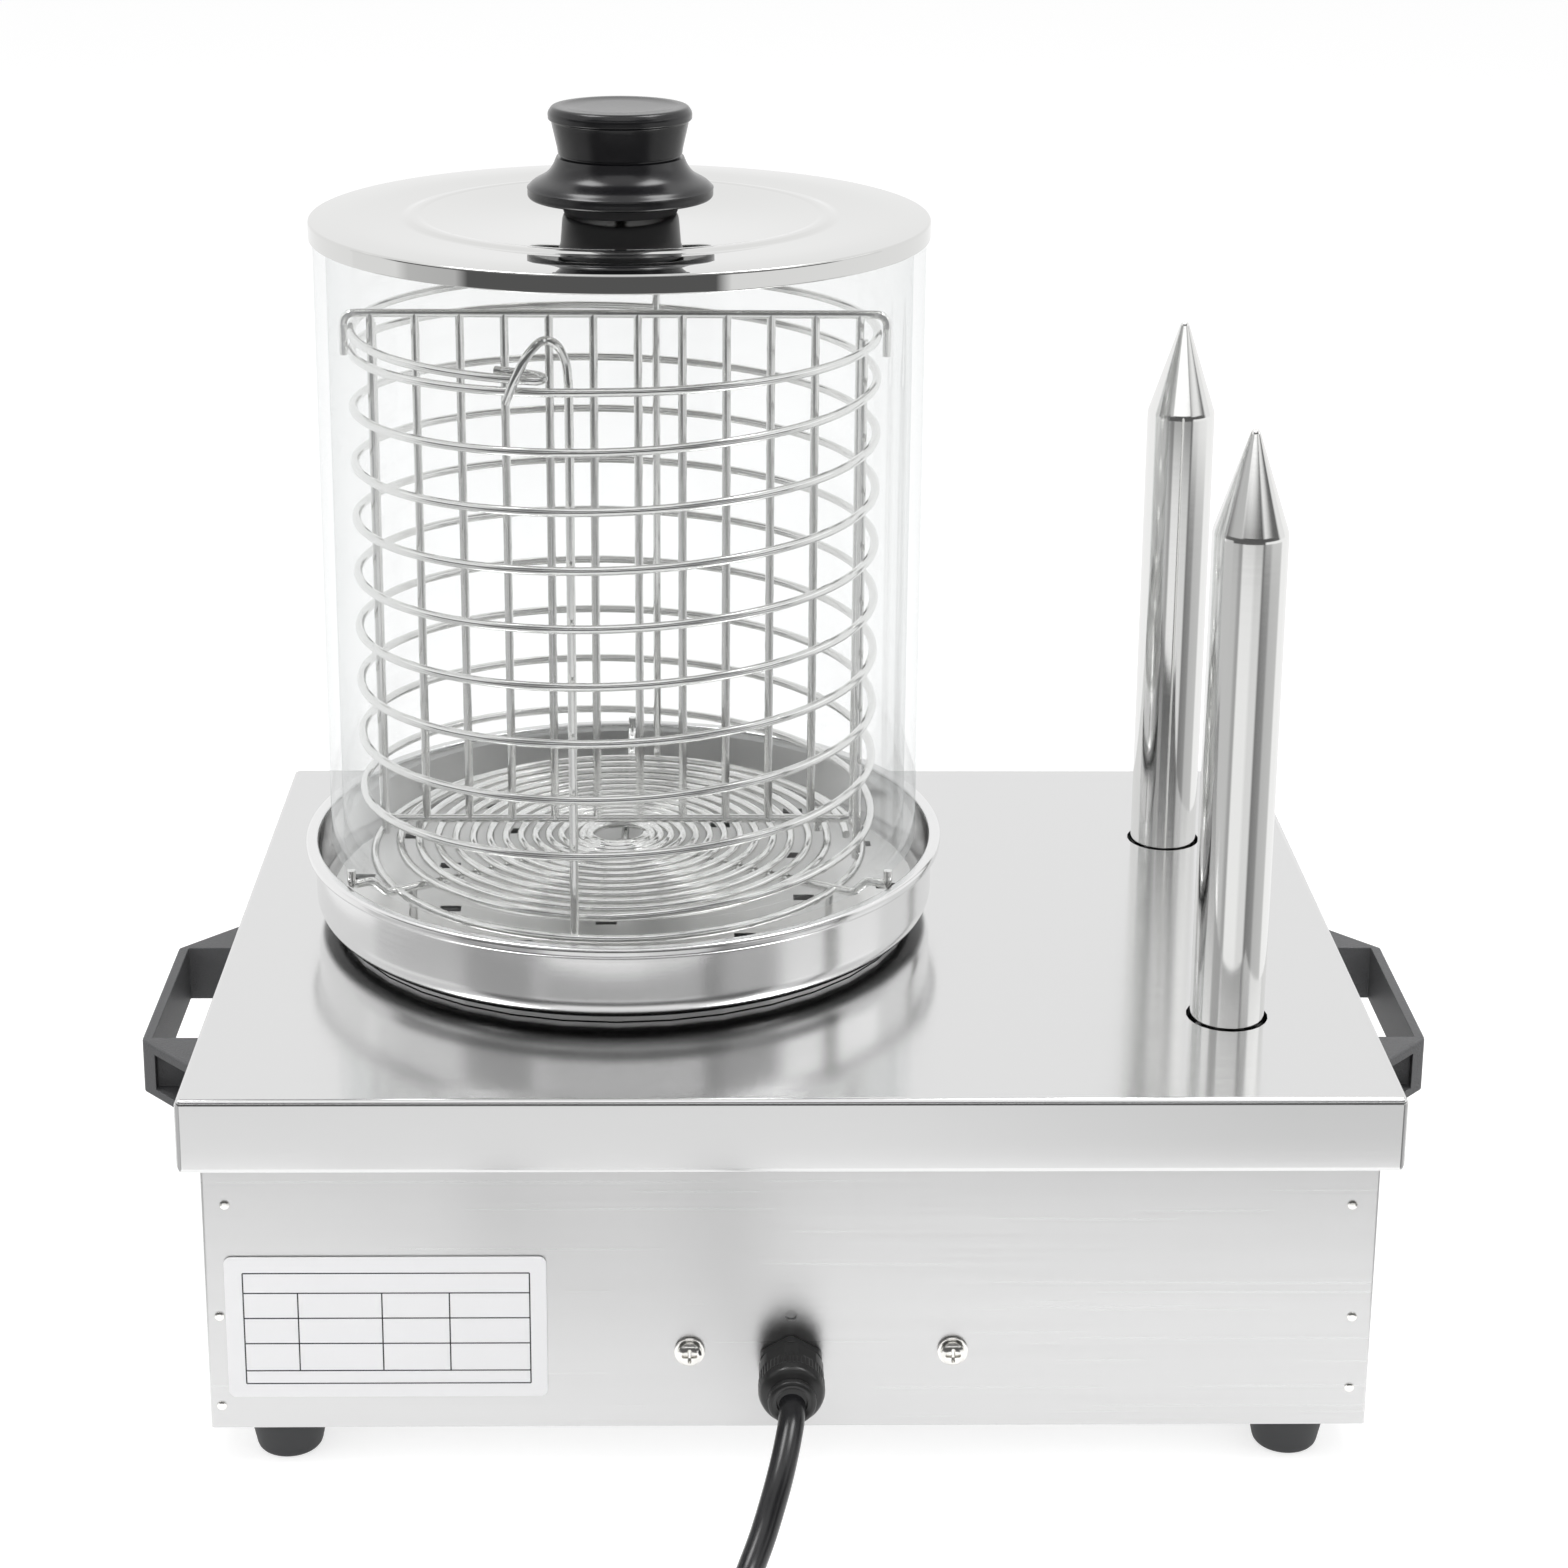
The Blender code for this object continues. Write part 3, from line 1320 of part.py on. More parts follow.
# Rocker switches: a housing with a well, and a rocker that tilts on a pin through its middle
ROCKER_PIVOT_Y = WALL_Y - ROCKER_PIVOT_DEPTH
rocker_reach = math.hypot(ROCKER_HALF_HEIGHT, ROCKER_BACK)
well_depth = (
    ROCKER_BACK * math.cos(ROCKER_ANGLE)
    + ROCKER_HALF_HEIGHT * math.sin(ROCKER_ANGLE)
    + ROCKER_CLEARANCE
)
well_half = math.hypot(ROCKER_HALF_HEIGHT, ROCKER_CREST) + ROCKER_CLEARANCE
for switch_name, switch_x, colour in (
    ("heat_switch", HEAT_SWITCH_X, (0.55, 0.02, 0.02)),
    ("spike_switch", SPIKE_SWITCH_X, (0.02, 0.30, 0.05)),
):
    housing = block(
        switch_name + "_housing",
        (
            switch_x - SWITCH_BEZEL_WIDTH / 2,
            WALL_Y + GAP,
            SWITCH_HEIGHT - SWITCH_BEZEL_HEIGHT / 2,
        ),
        (
            switch_x + SWITCH_BEZEL_WIDTH / 2,
            WALL_Y + GAP + SWITCH_BEZEL,
            SWITCH_HEIGHT + SWITCH_BEZEL_HEIGHT / 2,
        ),
    )
    join(
        housing,
        block(
            switch_name + "_box",
            (
                switch_x - SWITCH_BODY_WIDTH / 2,
                WALL_Y - SWITCH_BODY_DEPTH,
                SWITCH_HEIGHT - SWITCH_BODY_HEIGHT / 2,
            ),
            (
                switch_x + SWITCH_BODY_WIDTH / 2,
                WALL_Y + GAP + SWITCH_BEZEL / 2,
                SWITCH_HEIGHT + SWITCH_BODY_HEIGHT / 2,
            ),
        ),
    )
    cut(
        housing,
        block(
            switch_name + "_well",
            (
                switch_x - ROCKER_WIDTH / 2 - ROCKER_CLEARANCE,
                ROCKER_PIVOT_Y - well_depth,
                SWITCH_HEIGHT - well_half,
            ),
            (
                switch_x + ROCKER_WIDTH / 2 + ROCKER_CLEARANCE,
                WALL_Y + SWITCH_BEZEL + OVERRUN,
                SWITCH_HEIGHT + well_half,
            ),
        ),
    )
    part(housing, paint(switch_name + "_housing", (0.03, 0.03, 0.03), 0.4))
    rocker = flat(
        switch_name + "_rocker",
        [
            [
                (-ROCKER_BACK, -ROCKER_HALF_HEIGHT),
                (ROCKER_CREST, -ROCKER_HALF_HEIGHT),
                (ROCKER_DIP, 0),
                (ROCKER_CREST, ROCKER_HALF_HEIGHT),
                (-ROCKER_BACK, ROCKER_HALF_HEIGHT),
            ]
        ],
        ROCKER_WIDTH,
    )
    rocker.rotation_mode = "QUATERNION"
    rocker.rotation_quaternion = (
        Matrix.Rotation(-ROCKER_ANGLE, 4, "X")
        @ Matrix(((0, 0, 1, 0), (1, 0, 0, 0), (0, 1, 0, 0), (0, 0, 0, 1)))
    ).to_quaternion()
    rocker.location = (switch_x, ROCKER_PIVOT_Y, SWITCH_HEIGHT)
    part(rocker, paint(switch_name + "_rocker", colour, 0.35))

# Pilot lamps above the switches
for lamp_name, lamp_x, colour in (
    ("left_pilot_lamp", HEAT_SWITCH_X, (0.80, 0.05, 0.03)),
    ("right_pilot_lamp", SPIKE_SWITCH_X, (0.80, 0.05, 0.03)),
):
    lamp = turned(
        lamp_name,
        [
            (0, GAP + LAMP_LENS_HEIGHT),
            (LAMP_LENS_RADIUS / 2, GAP + LAMP_LENS_HEIGHT),
            (LAMP_LENS_RADIUS, GAP + LAMP_BEZEL),
            (LAMP_BEZEL_RADIUS, GAP + LAMP_BEZEL),
            (LAMP_BEZEL_RADIUS, GAP),
            (LAMP_BARREL_RADIUS, GAP),
            (LAMP_BARREL_RADIUS, -LAMP_BARREL_LENGTH),
            (0, -LAMP_BARREL_LENGTH),
        ],
        (lamp_x, WALL_Y, LAMP_HEIGHT),
        SMALL_SIDES,
        False,
        TO_FRONT,
    )
    part(lamp, paint(lamp_name, colour, 0.2))

# Spike bracket: a strip that hangs from the cover and carries both spikes
bracket_plate_top = COVER_UNDER - SPIKE_BRACKET_DROP
drop_rear = REAR_SPIKE_Y - SPIKE_BRACKET_MARGIN
drop_front = FRONT_SPIKE_Y + SPIKE_BRACKET_MARGIN
sheet = SPIKE_BRACKET_SHEET
foot = SPIKE_BRACKET_FOOT
hang_top = COVER_UNDER - GAP
spike_bracket = as_mesh(
    flat(
        "spike_bracket",
        [
            [
                (drop_rear - foot, hang_top - sheet),
                (drop_rear - sheet, hang_top - sheet),
                (drop_rear - sheet, bracket_plate_top - sheet),
                (drop_front + sheet, bracket_plate_top - sheet),
                (drop_front + sheet, hang_top - sheet),
                (drop_front + foot, hang_top - sheet),
                (drop_front + foot, hang_top),
                (drop_front, hang_top),
                (drop_front, bracket_plate_top),
                (drop_rear, bracket_plate_top),
                (drop_rear, hang_top),
                (drop_rear - foot, hang_top),
            ]
        ],
        SPIKE_BRACKET_WIDTH,
    )
)
spike_bracket.matrix_world = Matrix.Translation((SPIKE_X, 0, 0)) @ Matrix(
    ((0, 0, 1, 0), (1, 0, 0, 0), (0, 1, 0, 0), (0, 0, 0, 1))
)

spike_seat = bracket_plate_top + GAP
thread_bottom = spike_seat - SPIKE_THREAD_LENGTH
nut_top = bracket_plate_top - SPIKE_BRACKET_SHEET - GAP
for spike_name, spike_y in (("rear", REAR_SPIKE_Y), ("front", FRONT_SPIKE_Y)):
    cut(
        spike_bracket,
        rod(
            spike_name + "_bracket_hole",
            SPIKE_THREAD_RADIUS + GAP,
            (SPIKE_X, spike_y, bracket_plate_top - SPIKE_BRACKET_SHEET - OVERRUN),
            (SPIKE_X, spike_y, bracket_plate_top + OVERRUN),
        ),
    )
    spike = turned(
        spike_name + "_spike",
        [
            (0, SPIKE_TIP),
            (SPIKE_TIP_RADIUS - SPIKE_TIP_ROUNDING, SPIKE_TIP),
            (SPIKE_TIP_RADIUS, SPIKE_TIP - SPIKE_TIP_ROUNDING),
            (SPIKE_RADIUS, SPIKE_SHOULDER),
            (SPIKE_RADIUS, spike_seat),
            (SPIKE_THREAD_RADIUS, spike_seat),
            (SPIKE_THREAD_RADIUS, thread_bottom),
            (SPIKE_BORE_RADIUS, thread_bottom),
            (SPIKE_BORE_RADIUS, SPIKE_BORE_TOP),
            (0, SPIKE_BORE_TOP),
        ],
        (SPIKE_X, spike_y, 0),
        ROUND_SIDES,
    )
    part(spike, steel(spike_name + "_spike", 0.1))
    heater = rod(
        spike_name + "_spike_heater",
        HEATER_RADIUS,
        (SPIKE_X, spike_y, thread_bottom - HEATER_TAIL),
        (SPIKE_X, spike_y, SPIKE_BORE_TOP - GAP),
    )
    part(heater, steel(spike_name + "_heater", 0.5))
    nut = turned(
        spike_name + "_spike_nut",
        [
            (SPIKE_NUT_RADIUS, nut_top),
            (SPIKE_NUT_RADIUS, nut_top - SPIKE_NUT_HEIGHT),
            (SPIKE_THREAD_RADIUS * SPIKE_NUT_BORE_SHARE, nut_top - SPIKE_NUT_HEIGHT),
            (SPIKE_THREAD_RADIUS * SPIKE_NUT_BORE_SHARE, nut_top),
        ],
        (SPIKE_X, spike_y, 0),
        HEX_SIDES,
        True,
    )
    part(nut, steel(spike_name + "_nut", 0.3))
part(spike_bracket, steel("spike_bracket", 0.4))

# Tray with a rolled rim
rim_bottom = TRAY_TOP - TRAY_RIM_HEIGHT
rim_edge = (TRAY_RIM_RADIUS - TRAY_RADIUS) / 3
tray = turned(
    "tray",
    [
        (TRAY_RIM_RADIUS - rim_edge, TRAY_TOP),
        (TRAY_RIM_RADIUS, TRAY_TOP - rim_edge),
        (TRAY_RIM_RADIUS, rim_bottom + rim_edge),
        (TRAY_RIM_RADIUS - rim_edge, rim_bottom),
        (TRAY_RADIUS, rim_bottom),
        (TRAY_RADIUS, TRAY_BOTTOM + TRAY_HEM),
        (TRAY_RADIUS - TRAY_HEM, TRAY_BOTTOM),
        (0, TRAY_BOTTOM),
        (0, TRAY_FLOOR),
        (TRAY_RADIUS - SHEET - TRAY_HEM, TRAY_FLOOR),
        (TRAY_RADIUS - SHEET, TRAY_FLOOR + TRAY_HEM),
        (TRAY_RADIUS - SHEET, TRAY_TOP - rim_edge),
        (TRAY_RADIUS - SHEET + rim_edge, TRAY_TOP),
    ],
    (AXIS_X, AXIS_Y, 0),
    FINE_SIDES,
    True,
)
part(tray, steel("tray", 0.25))

# Perforated plate: a disc with an edge turned down to the tray's floor
perforated_plate = turned(
    "perforated_plate",
    [
        (0, GRID_TOP),
        (GRID_RADIUS, GRID_TOP),
        (GRID_RADIUS, TRAY_FLOOR + GAP),
        (GRID_RADIUS - GRID_SHEET, TRAY_FLOOR + GAP),
        (GRID_RADIUS - GRID_SHEET, GRID_TOP - GRID_SHEET),
        (0, GRID_TOP - GRID_SHEET),
    ],
    (AXIS_X, AXIS_Y, 0),
    FINE_SIDES,
)
slot_places = []
for ring_share, count in zip(GRID_RING_SHARES, GRID_RING_COUNTS):
    for index in range(count):
        angle = math.tau * (index + ring_share) / count
        centre = polar(
            GRID_RADIUS * ring_share,
            angle,
            GRID_TOP - GRID_SHEET / 2,
            (AXIS_X, AXIS_Y),
        )
        size = (GRID_SLOT_LENGTH, GRID_SLOT_WIDTH, GRID_SHEET + GAP * 4)
        slot_places.append((centre, size, 0))
cut(perforated_plate, blocks("grid_slots", slot_places))
part(perforated_plate, steel("perforated_plate", 0.3))


# Basket wall: a wire coil that goes down clockwise, with a nearly flat top turn
def coil_height(turned_angle):
    """Height of the coil after this angle from its start: a flat first turn, the pitch, a steeper last turn."""
    first = BASKET_START_ANGLE + math.radians(90)
    first_share = min(turned_angle / first, 1)
    height = BASKET_TOP_TURN_Z - BASKET_TOP_TURN_DROP * first_share
    if turned_angle > first:
        turns = (turned_angle - first) / math.tau
        height -= BASKET_PITCH * min(turns, BASKET_TURNS)
        height -= BASKET_LAST_DROP * max(turns - BASKET_TURNS, 0)
    return height


coil_points = []
coil_sweep = BASKET_START_ANGLE + math.radians(90) + math.tau * (BASKET_TURNS + 1)
coil_steps = round(coil_sweep / math.tau * BASKET_POINTS_PER_TURN)
for step in range(coil_steps + 1):
    swept = coil_sweep * step / coil_steps
    coil_points.append(
        polar(
            BASKET_RADIUS,
            BASKET_START_ANGLE - swept,
            coil_height(swept),
            (BASKET_X, BASKET_Y),
        )
    )
basket_coil = tube("basket_coil", coil_points, WIRE, 1)
part(basket_coil, steel("basket_coil", 0.12))

# Basket floor: a flat wire spiral on the radial bars, closer wound near the middle
floor_points = []
floor_angle = 0
floor_end = math.tau * FLOOR_TURNS
while floor_angle < floor_end:
    share = (floor_angle / floor_end) ** FLOOR_GROWTH
    radius = FLOOR_INNER_RADIUS + (FLOOR_OUTER_RADIUS - FLOOR_INNER_RADIUS) * share
    floor_points.append(
        polar(radius, -floor_angle, FLOOR_Z, (BASKET_X, BASKET_Y))
    )
    points_share = FLOOR_LEAST_SHARE + (FLOOR_MOST_SHARE - FLOOR_LEAST_SHARE) * share
    floor_angle += math.tau / (BASKET_POINTS_PER_TURN * points_share)
basket_floor = tube("basket_floor", floor_points, WIRE, 1)
part(basket_floor, steel("basket_floor", 0.12))

# Basket frame: a ring, four upright rods, three radial bars with legs, and a hub, welded together
ring_profile = []
for step in range(HEX_SIDES):
    angle = math.radians(20) - math.tau * step / HEX_SIDES
    ring_profile.append(
        (
            FRAME_RING_RADIUS + WIRE * math.cos(angle),
            BAR_Z - WIRE / 7 + WIRE * math.sin(angle),
        )
    )
basket_frame = turned(
    "basket_frame",
    ring_profile,
    (BASKET_X, BASKET_Y, 0),
    ROUND_SIDES,
    True,
)
for index in range(ROD_COUNT):
    angle = ROD_FIRST_ANGLE + math.tau * index / ROD_COUNT
    foot_point = polar(ROD_RADIUS, angle, BAR_Z - WIRE / 2, (BASKET_X, BASKET_Y))
    head_point = polar(ROD_RADIUS, angle, ROD_TOP, (BASKET_X, BASKET_Y))
    rod_points = [foot_point, head_point]
    if index == HOOKED_ROD:
        over = DIVIDER_HOOK_X
        hook_angle = angle - math.radians(12)
        apex = polar(ROD_RADIUS + ROD_HOOK_REACH, angle - math.radians(4), ROD_HOOK_APEX, (BASKET_X, BASKET_Y))
        rise = polar(ROD_RADIUS, angle - math.radians(1), ROD_HOOK_APEX - WIRE * 3, (BASKET_X, BASKET_Y))
        outer = polar(over, angle - math.radians(9), ROD_HOOK_APEX - WIRE * 3, (BASKET_X, BASKET_Y))
        end = polar(over, hook_angle, ROD_TOP - WIRE * 3, (BASKET_X, BASKET_Y))
        rod_points = [foot_point, head_point, rise, apex, outer, end]
    join(basket_frame, as_mesh(tube("basket_rod", rod_points, WIRE, 1)))
for index in range(BAR_COUNT):
    angle = BAR_FIRST_ANGLE + math.tau * index / BAR_COUNT
    centre = (AXIS_X, AXIS_Y)
    bar_points = [
        polar(HUB_RADIUS / 2, angle, BAR_Z, centre),
        polar(BAR_BEND_START, angle, BAR_Z, centre),
        polar(BAR_BEND_END, angle, BAR_END_Z, centre),
        polar(BAR_END_RADIUS - WIRE, angle, BAR_END_Z, centre),
        polar(BAR_END_RADIUS, angle, BAR_END_Z + WIRE, centre),
        polar(BAR_END_RADIUS, angle, BAR_END_Z + BAR_STOP_HEIGHT, centre),
    ]
    join(basket_frame, as_mesh(tube("basket_bar", bar_points, WIRE, 1)))
    leg_top = polar(BAR_LEG_RADIUS, angle, BAR_Z, centre)
    leg_bottom = polar(BAR_LEG_RADIUS, angle, GRID_TOP + GAP, centre)
    join(basket_frame, rod("basket_leg", WIRE, leg_bottom, leg_top, TINY_SIDES))
join(
    basket_frame,
    rod(
        "basket_hub",
        HUB_RADIUS,
        (AXIS_X, AXIS_Y, BAR_Z + WIRE / 2 - HUB_HEIGHT),
        (AXIS_X, AXIS_Y, BAR_Z + WIRE / 2),
        TINY_SIDES,
    ),
)
part(basket_frame, steel("basket_frame", 0.12))

# Divider: a top wire hooked over the basket, a U of wire below it, and upright wires between
hook_low = DIVIDER_TOP - DIVIDER_HOOK_DEPTH
hook_x = DIVIDER_HOOK_X
top_wire = []
corners = [
    Vector((BASKET_X - hook_x, BASKET_Y, hook_low)),
    Vector((BASKET_X - hook_x, BASKET_Y, DIVIDER_TOP)),
    Vector((BASKET_X + hook_x, BASKET_Y, DIVIDER_TOP)),
    Vector((BASKET_X + hook_x, BASKET_Y, hook_low)),
]
top_wire.append(corners[0])
top_wire += rounded_corner(corners[0], corners[1], corners[2], DIVIDER_CORNER / 2)
top_wire += rounded_corner(corners[1], corners[2], corners[3], DIVIDER_CORNER / 2)
top_wire.append(corners[3])
divider = as_mesh(tube("divider", top_wire, WIRE, 1))
outer_bar_x = DIVIDER_OUTER_X
corners = [
    Vector((BASKET_X - outer_bar_x, BASKET_Y, DIVIDER_TOP)),
    Vector((BASKET_X - outer_bar_x, BASKET_Y, DIVIDER_BOTTOM)),
    Vector((BASKET_X + outer_bar_x, BASKET_Y, DIVIDER_BOTTOM)),
    Vector((BASKET_X + outer_bar_x, BASKET_Y, DIVIDER_TOP)),
]
lower_wire = [corners[0]]
lower_wire += rounded_corner(corners[0], corners[1], corners[2], DIVIDER_CORNER)
lower_wire += rounded_corner(corners[1], corners[2], corners[3], DIVIDER_CORNER)
lower_wire.append(corners[3])
join(divider, as_mesh(tube("divider_lower_wire", lower_wire, WIRE, 1)))
for index in range(1, DIVIDER_BARS - 1):
    bar_x = BASKET_X - outer_bar_x + DIVIDER_BAR_PITCH * index
    join(
        divider,
        rod(
            "divider_bar",
            WIRE,
            (bar_x, BASKET_Y, DIVIDER_BOTTOM),
            (bar_x, BASKET_Y, DIVIDER_TOP),
            HEX_SIDES,
        ),
    )
for side in (-1, 1):
    leg_x = BASKET_X + side * DIVIDER_LEG_X
    join(
        divider,
        rod(
            "divider_leg",
            WIRE,
            (leg_x, BASKET_Y, FLOOR_Z + WIRE + GAP),
            (leg_x, BASKET_Y, DIVIDER_BOTTOM),
            HEX_SIDES,
        ),
    )
part(divider, steel("divider", 0.12))

# Glass cylinder
glass_cylinder = turned(
    "glass_cylinder",
    [
        (GLASS_RADIUS, GLASS_TOP),
        (GLASS_RADIUS, GLASS_BOTTOM),
        (GLASS_INNER, GLASS_BOTTOM),
        (GLASS_INNER, GLASS_TOP),
    ],
    (AXIS_X, AXIS_Y, 0),
    FINE_SIDES,
    True,
)
part(glass_cylinder, paint("glass_cylinder", (0.95, 0.97, 0.97), 0.02, 0.0, 0.9))

# Lid: a polished disc with a rim turned down over the glass and an embossed ring
lid_inner = GLASS_RADIUS + GAP
lid_outer = lid_inner + LID_SHEET
lid_under = GLASS_TOP + GAP
lid_bottom = LID_TOP - LID_RIM
ring_in = LID_RING_RADIUS - LID_RING_WIDTH / 2
ring_out = LID_RING_RADIUS + LID_RING_WIDTH / 2
ring_flat = LID_RING_WIDTH / 4
lid = turned(
    "lid",
    [
        (LID_SCREW_RADIUS + GAP, LID_TOP),
        (ring_in, LID_TOP),
        (ring_in + ring_flat, LID_TOP + LID_RING_HEIGHT),
        (ring_out - ring_flat, LID_TOP + LID_RING_HEIGHT),
        (ring_out, LID_TOP),
        (lid_outer - LID_EDGE, LID_TOP),
        (lid_outer, LID_TOP - LID_EDGE),
        (lid_outer, lid_bottom),
        (lid_inner, lid_bottom),
        (lid_inner, lid_under),
        (LID_SCREW_RADIUS + GAP, lid_under),
    ],
    (AXIS_X, AXIS_Y, 0),
    FINE_SIDES,
    True,
)
part(lid, steel("lid", 0.06))

# Collar, knob and the screw that holds them to the lid
collar_bottom = LID_TOP + GAP
collar_top = collar_bottom + COLLAR_HEIGHT
lid_collar = turned(
    "lid_collar",
    [
        (COLLAR_TOP_RADIUS, collar_top),
        (COLLAR_RADIUS, collar_bottom),
        (LID_SCREW_RADIUS + GAP, collar_bottom),
        (LID_SCREW_RADIUS + GAP, collar_top),
    ],
    (AXIS_X, AXIS_Y, 0),
    ROUND_SIDES,
    True,
)
part(lid_collar, paint("lid_collar", (0.03, 0.03, 0.032), 0.35))
flare = []
for drop_share, width_share in KNOB_FLARE_SHARES:
    flare.append(
        (
            KNOB_WAIST_RADIUS + (LID_KNOB_SKIRT_RADIUS - KNOB_WAIST_RADIUS) * width_share,
            KNOB_WAIST_Z - (KNOB_WAIST_Z - LID_KNOB_SKIRT_Z) * drop_share,
        )
    )
lid_knob = turned(
    "lid_knob",
    [
        (0, KNOB_TOP),
        (KNOB_TOP_RADIUS - KNOB_ROUNDING / 2, KNOB_TOP),
        (KNOB_TOP_RADIUS, KNOB_TOP - KNOB_ROUNDING),
        (KNOB_NECK_RADIUS, KNOB_NECK_Z),
        (KNOB_WAIST_RADIUS, KNOB_WAIST_Z),
        flare[0],
        flare[1],
        flare[2],
        (LID_KNOB_SKIRT_RADIUS, LID_KNOB_SKIRT_Z),
        (LID_KNOB_SKIRT_RADIUS, LID_KNOB_BOTTOM),
        (LID_SCREW_RADIUS + GAP, LID_KNOB_BOTTOM),
        (LID_SCREW_RADIUS + GAP, LID_SCREW_TOP + GAP),
        (0, LID_SCREW_TOP + GAP),
    ],
    (AXIS_X, AXIS_Y, 0),
    FINE_SIDES,
)
part(lid_knob, paint("lid_knob", (0.03, 0.03, 0.032), 0.35))
screw_head_top = lid_under - GAP
lid_screw = turned(
    "lid_screw",
    [
        (0, LID_SCREW_TOP),
        (LID_SCREW_RADIUS, LID_SCREW_TOP),
        (LID_SCREW_RADIUS, screw_head_top),
        (LID_SCREW_HEAD_RADIUS, screw_head_top),
        (LID_SCREW_HEAD_RADIUS, screw_head_top - LID_SCREW_HEAD_HEIGHT / 2),
        (LID_SCREW_HEAD_RADIUS / 2, screw_head_top - LID_SCREW_HEAD_HEIGHT),
        (0, screw_head_top - LID_SCREW_HEAD_HEIGHT),
    ],
    (AXIS_X, AXIS_Y, 0),
    TINY_SIDES,
)
part(lid_screw, steel("lid_screw", 0.25))

# Mains cord from the gland down to the floor and on to its stored coil. The route is chosen by hand
cord_z = CORD_RADIUS + CORD_FLOOR_LIFT
cord_start_y = -WALL_Y - nut_end - GAP
CORD_ROUTE = [
    (0, cord_start_y, GLAND_HEIGHT),
    (-0.0008, -0.1700, 0.0335),
    (-0.0040, -0.1830, 0.0255),
    (-0.0090, -0.1950, 0.0140),
    (-0.0145, -0.2085, 0.0060),
    (-0.0175, -0.2260, cord_z),
    (-0.0160, -0.2440, cord_z),
    (-0.0130, -0.2618, cord_z),
]
mains_cord = tube("mains_cord", smooth_route(CORD_ROUTE, 2), CORD_RADIUS, 2)
part(mains_cord, paint("mains_cord", (0.02, 0.02, 0.02), 0.3))

# Stored coil: two layers of two turns and one turn on top, as one stepped ring
layer = CORD_RADIUS * 2
cord_coil = turned(
    "cord_coil",
    [
        (COIL_MEAN_RADIUS, layer * 3),
        (COIL_MEAN_RADIUS, layer * 2),
        (COIL_OUTER, layer * 2),
        (COIL_OUTER, 0),
        (COIL_INNER, 0),
        (COIL_INNER, layer * 3),
    ],
    (COIL_X, COIL_Y, 0),
    ROUND_SIDES,
    True,
)
part(cord_coil, paint("cord_coil", (0.02, 0.02, 0.02), 0.3))

# Plug, lying on the floor with its boot towards the coil's top turn
plug_y = COIL_Y - COIL_MEAN_RADIUS + CORD_RADIUS
boot_tip_x = COIL_X - math.sqrt(COIL_OUTER**2 - (COIL_Y - plug_y) ** 2) - CORD_RADIUS
body_start = PLUG_BOOT_LENGTH
body_end = PLUG_BOOT_LENGTH + PLUG_LENGTH
mains_plug = turned(
    "mains_plug",
    [
        (0, body_end),
        (PLUG_RADIUS - PLUG_EDGE, body_end),
        (PLUG_RADIUS, body_end - PLUG_EDGE),
        (PLUG_RADIUS, body_start + PLUG_EDGE),
        (PLUG_RADIUS - PLUG_EDGE, body_start),
        (PLUG_BOOT_RADIUS, body_start),
        (PLUG_BOOT_TIP_RADIUS, 0),
        (0, 0),
    ],
    (boot_tip_x, plug_y, PLUG_AXIS_Z),
    PLUG_SIDES,
    False,
    (0, math.radians(-90), 0),
)
for pin_side in (-1, 1):
    pin_y = plug_y + pin_side * PLUG_PIN_SPACING / 2
    join(
        mains_plug,
        rod(
            "plug_pin",
            PLUG_PIN_RADIUS,
            (boot_tip_x - body_end + OVERRUN, pin_y, PLUG_AXIS_Z),
            (boot_tip_x - body_end - PLUG_PIN_LENGTH, pin_y, PLUG_AXIS_Z),
            TINY_SIDES,
        ),
    )
part(mains_plug, paint("mains_plug", (0.02, 0.02, 0.02), 0.4))

# Wiring: one bundle from the terminal block over the bottom plate, with a branch to each consumer
def on_the_way(start, end, shares):
    """Points between two ends, each at its own share of the way along X, Y and Z."""
    found = []
    for point in shares:
        found.append(tuple(a + (b - a) * share for a, b, share in zip(start, end, point)))
    return found


bundle_x = (HEAT_SWITCH_X + SPIKE_SWITCH_X) / 2
bundle_z = BOTTOM_PLATE_TOP + GAP * 2 + WIRE_BUNDLE_RADIUS
block_side_x = block_x + BLOCK_WIDTH / 2 + GAP * 3
block_middle_y = block_back + BLOCK_DEPTH / 2
fall_end_y = block_middle_y + BUNDLE_FALL
switch_back_y = WALL_Y - SWITCH_BODY_DEPTH - GAP * 3
rise_y = switch_back_y - BUNDLE_TO_SWITCHES
rise_z = bundle_z + BUNDLE_RISE
heater_end_z = thread_bottom - HEATER_TAIL - GAP * 3
leg_end_z = element_z - ELEMENT_LEG - GAP * 3
branch_z = bundle_z + WIRE_BRANCH_RADIUS / 2
leaving = (block_side_x + BLOCK_DEPTH / 2, block_middle_y, lead_end_z)
landing = (bundle_x, fall_end_y, bundle_z)
BUNDLE_FALL_SHARES = ((0.57, 0.25, 0.04), (0.97, 0.44, 0.38), (1.1, 0.69, 0.75), (1.05, 1, 0.96))
wiring = as_mesh(
    tube(
        "wiring",
        smooth_route(
            [
                (block_side_x, block_middle_y, lead_end_z),
                leaving,
                *on_the_way(leaving, landing, BUNDLE_FALL_SHARES),
                (bundle_x, (fall_end_y + rise_y) / 3, bundle_z),
                (bundle_x, (fall_end_y + rise_y * 2) / 3, bundle_z),
                (bundle_x, rise_y - BUNDLE_RISE, bundle_z + WIRE_BUNDLE_RADIUS),
                (bundle_x, rise_y, rise_z),
            ],
            2,
        ),
        WIRE_BUNDLE_RADIUS,
        1,
    )
)
branches = []
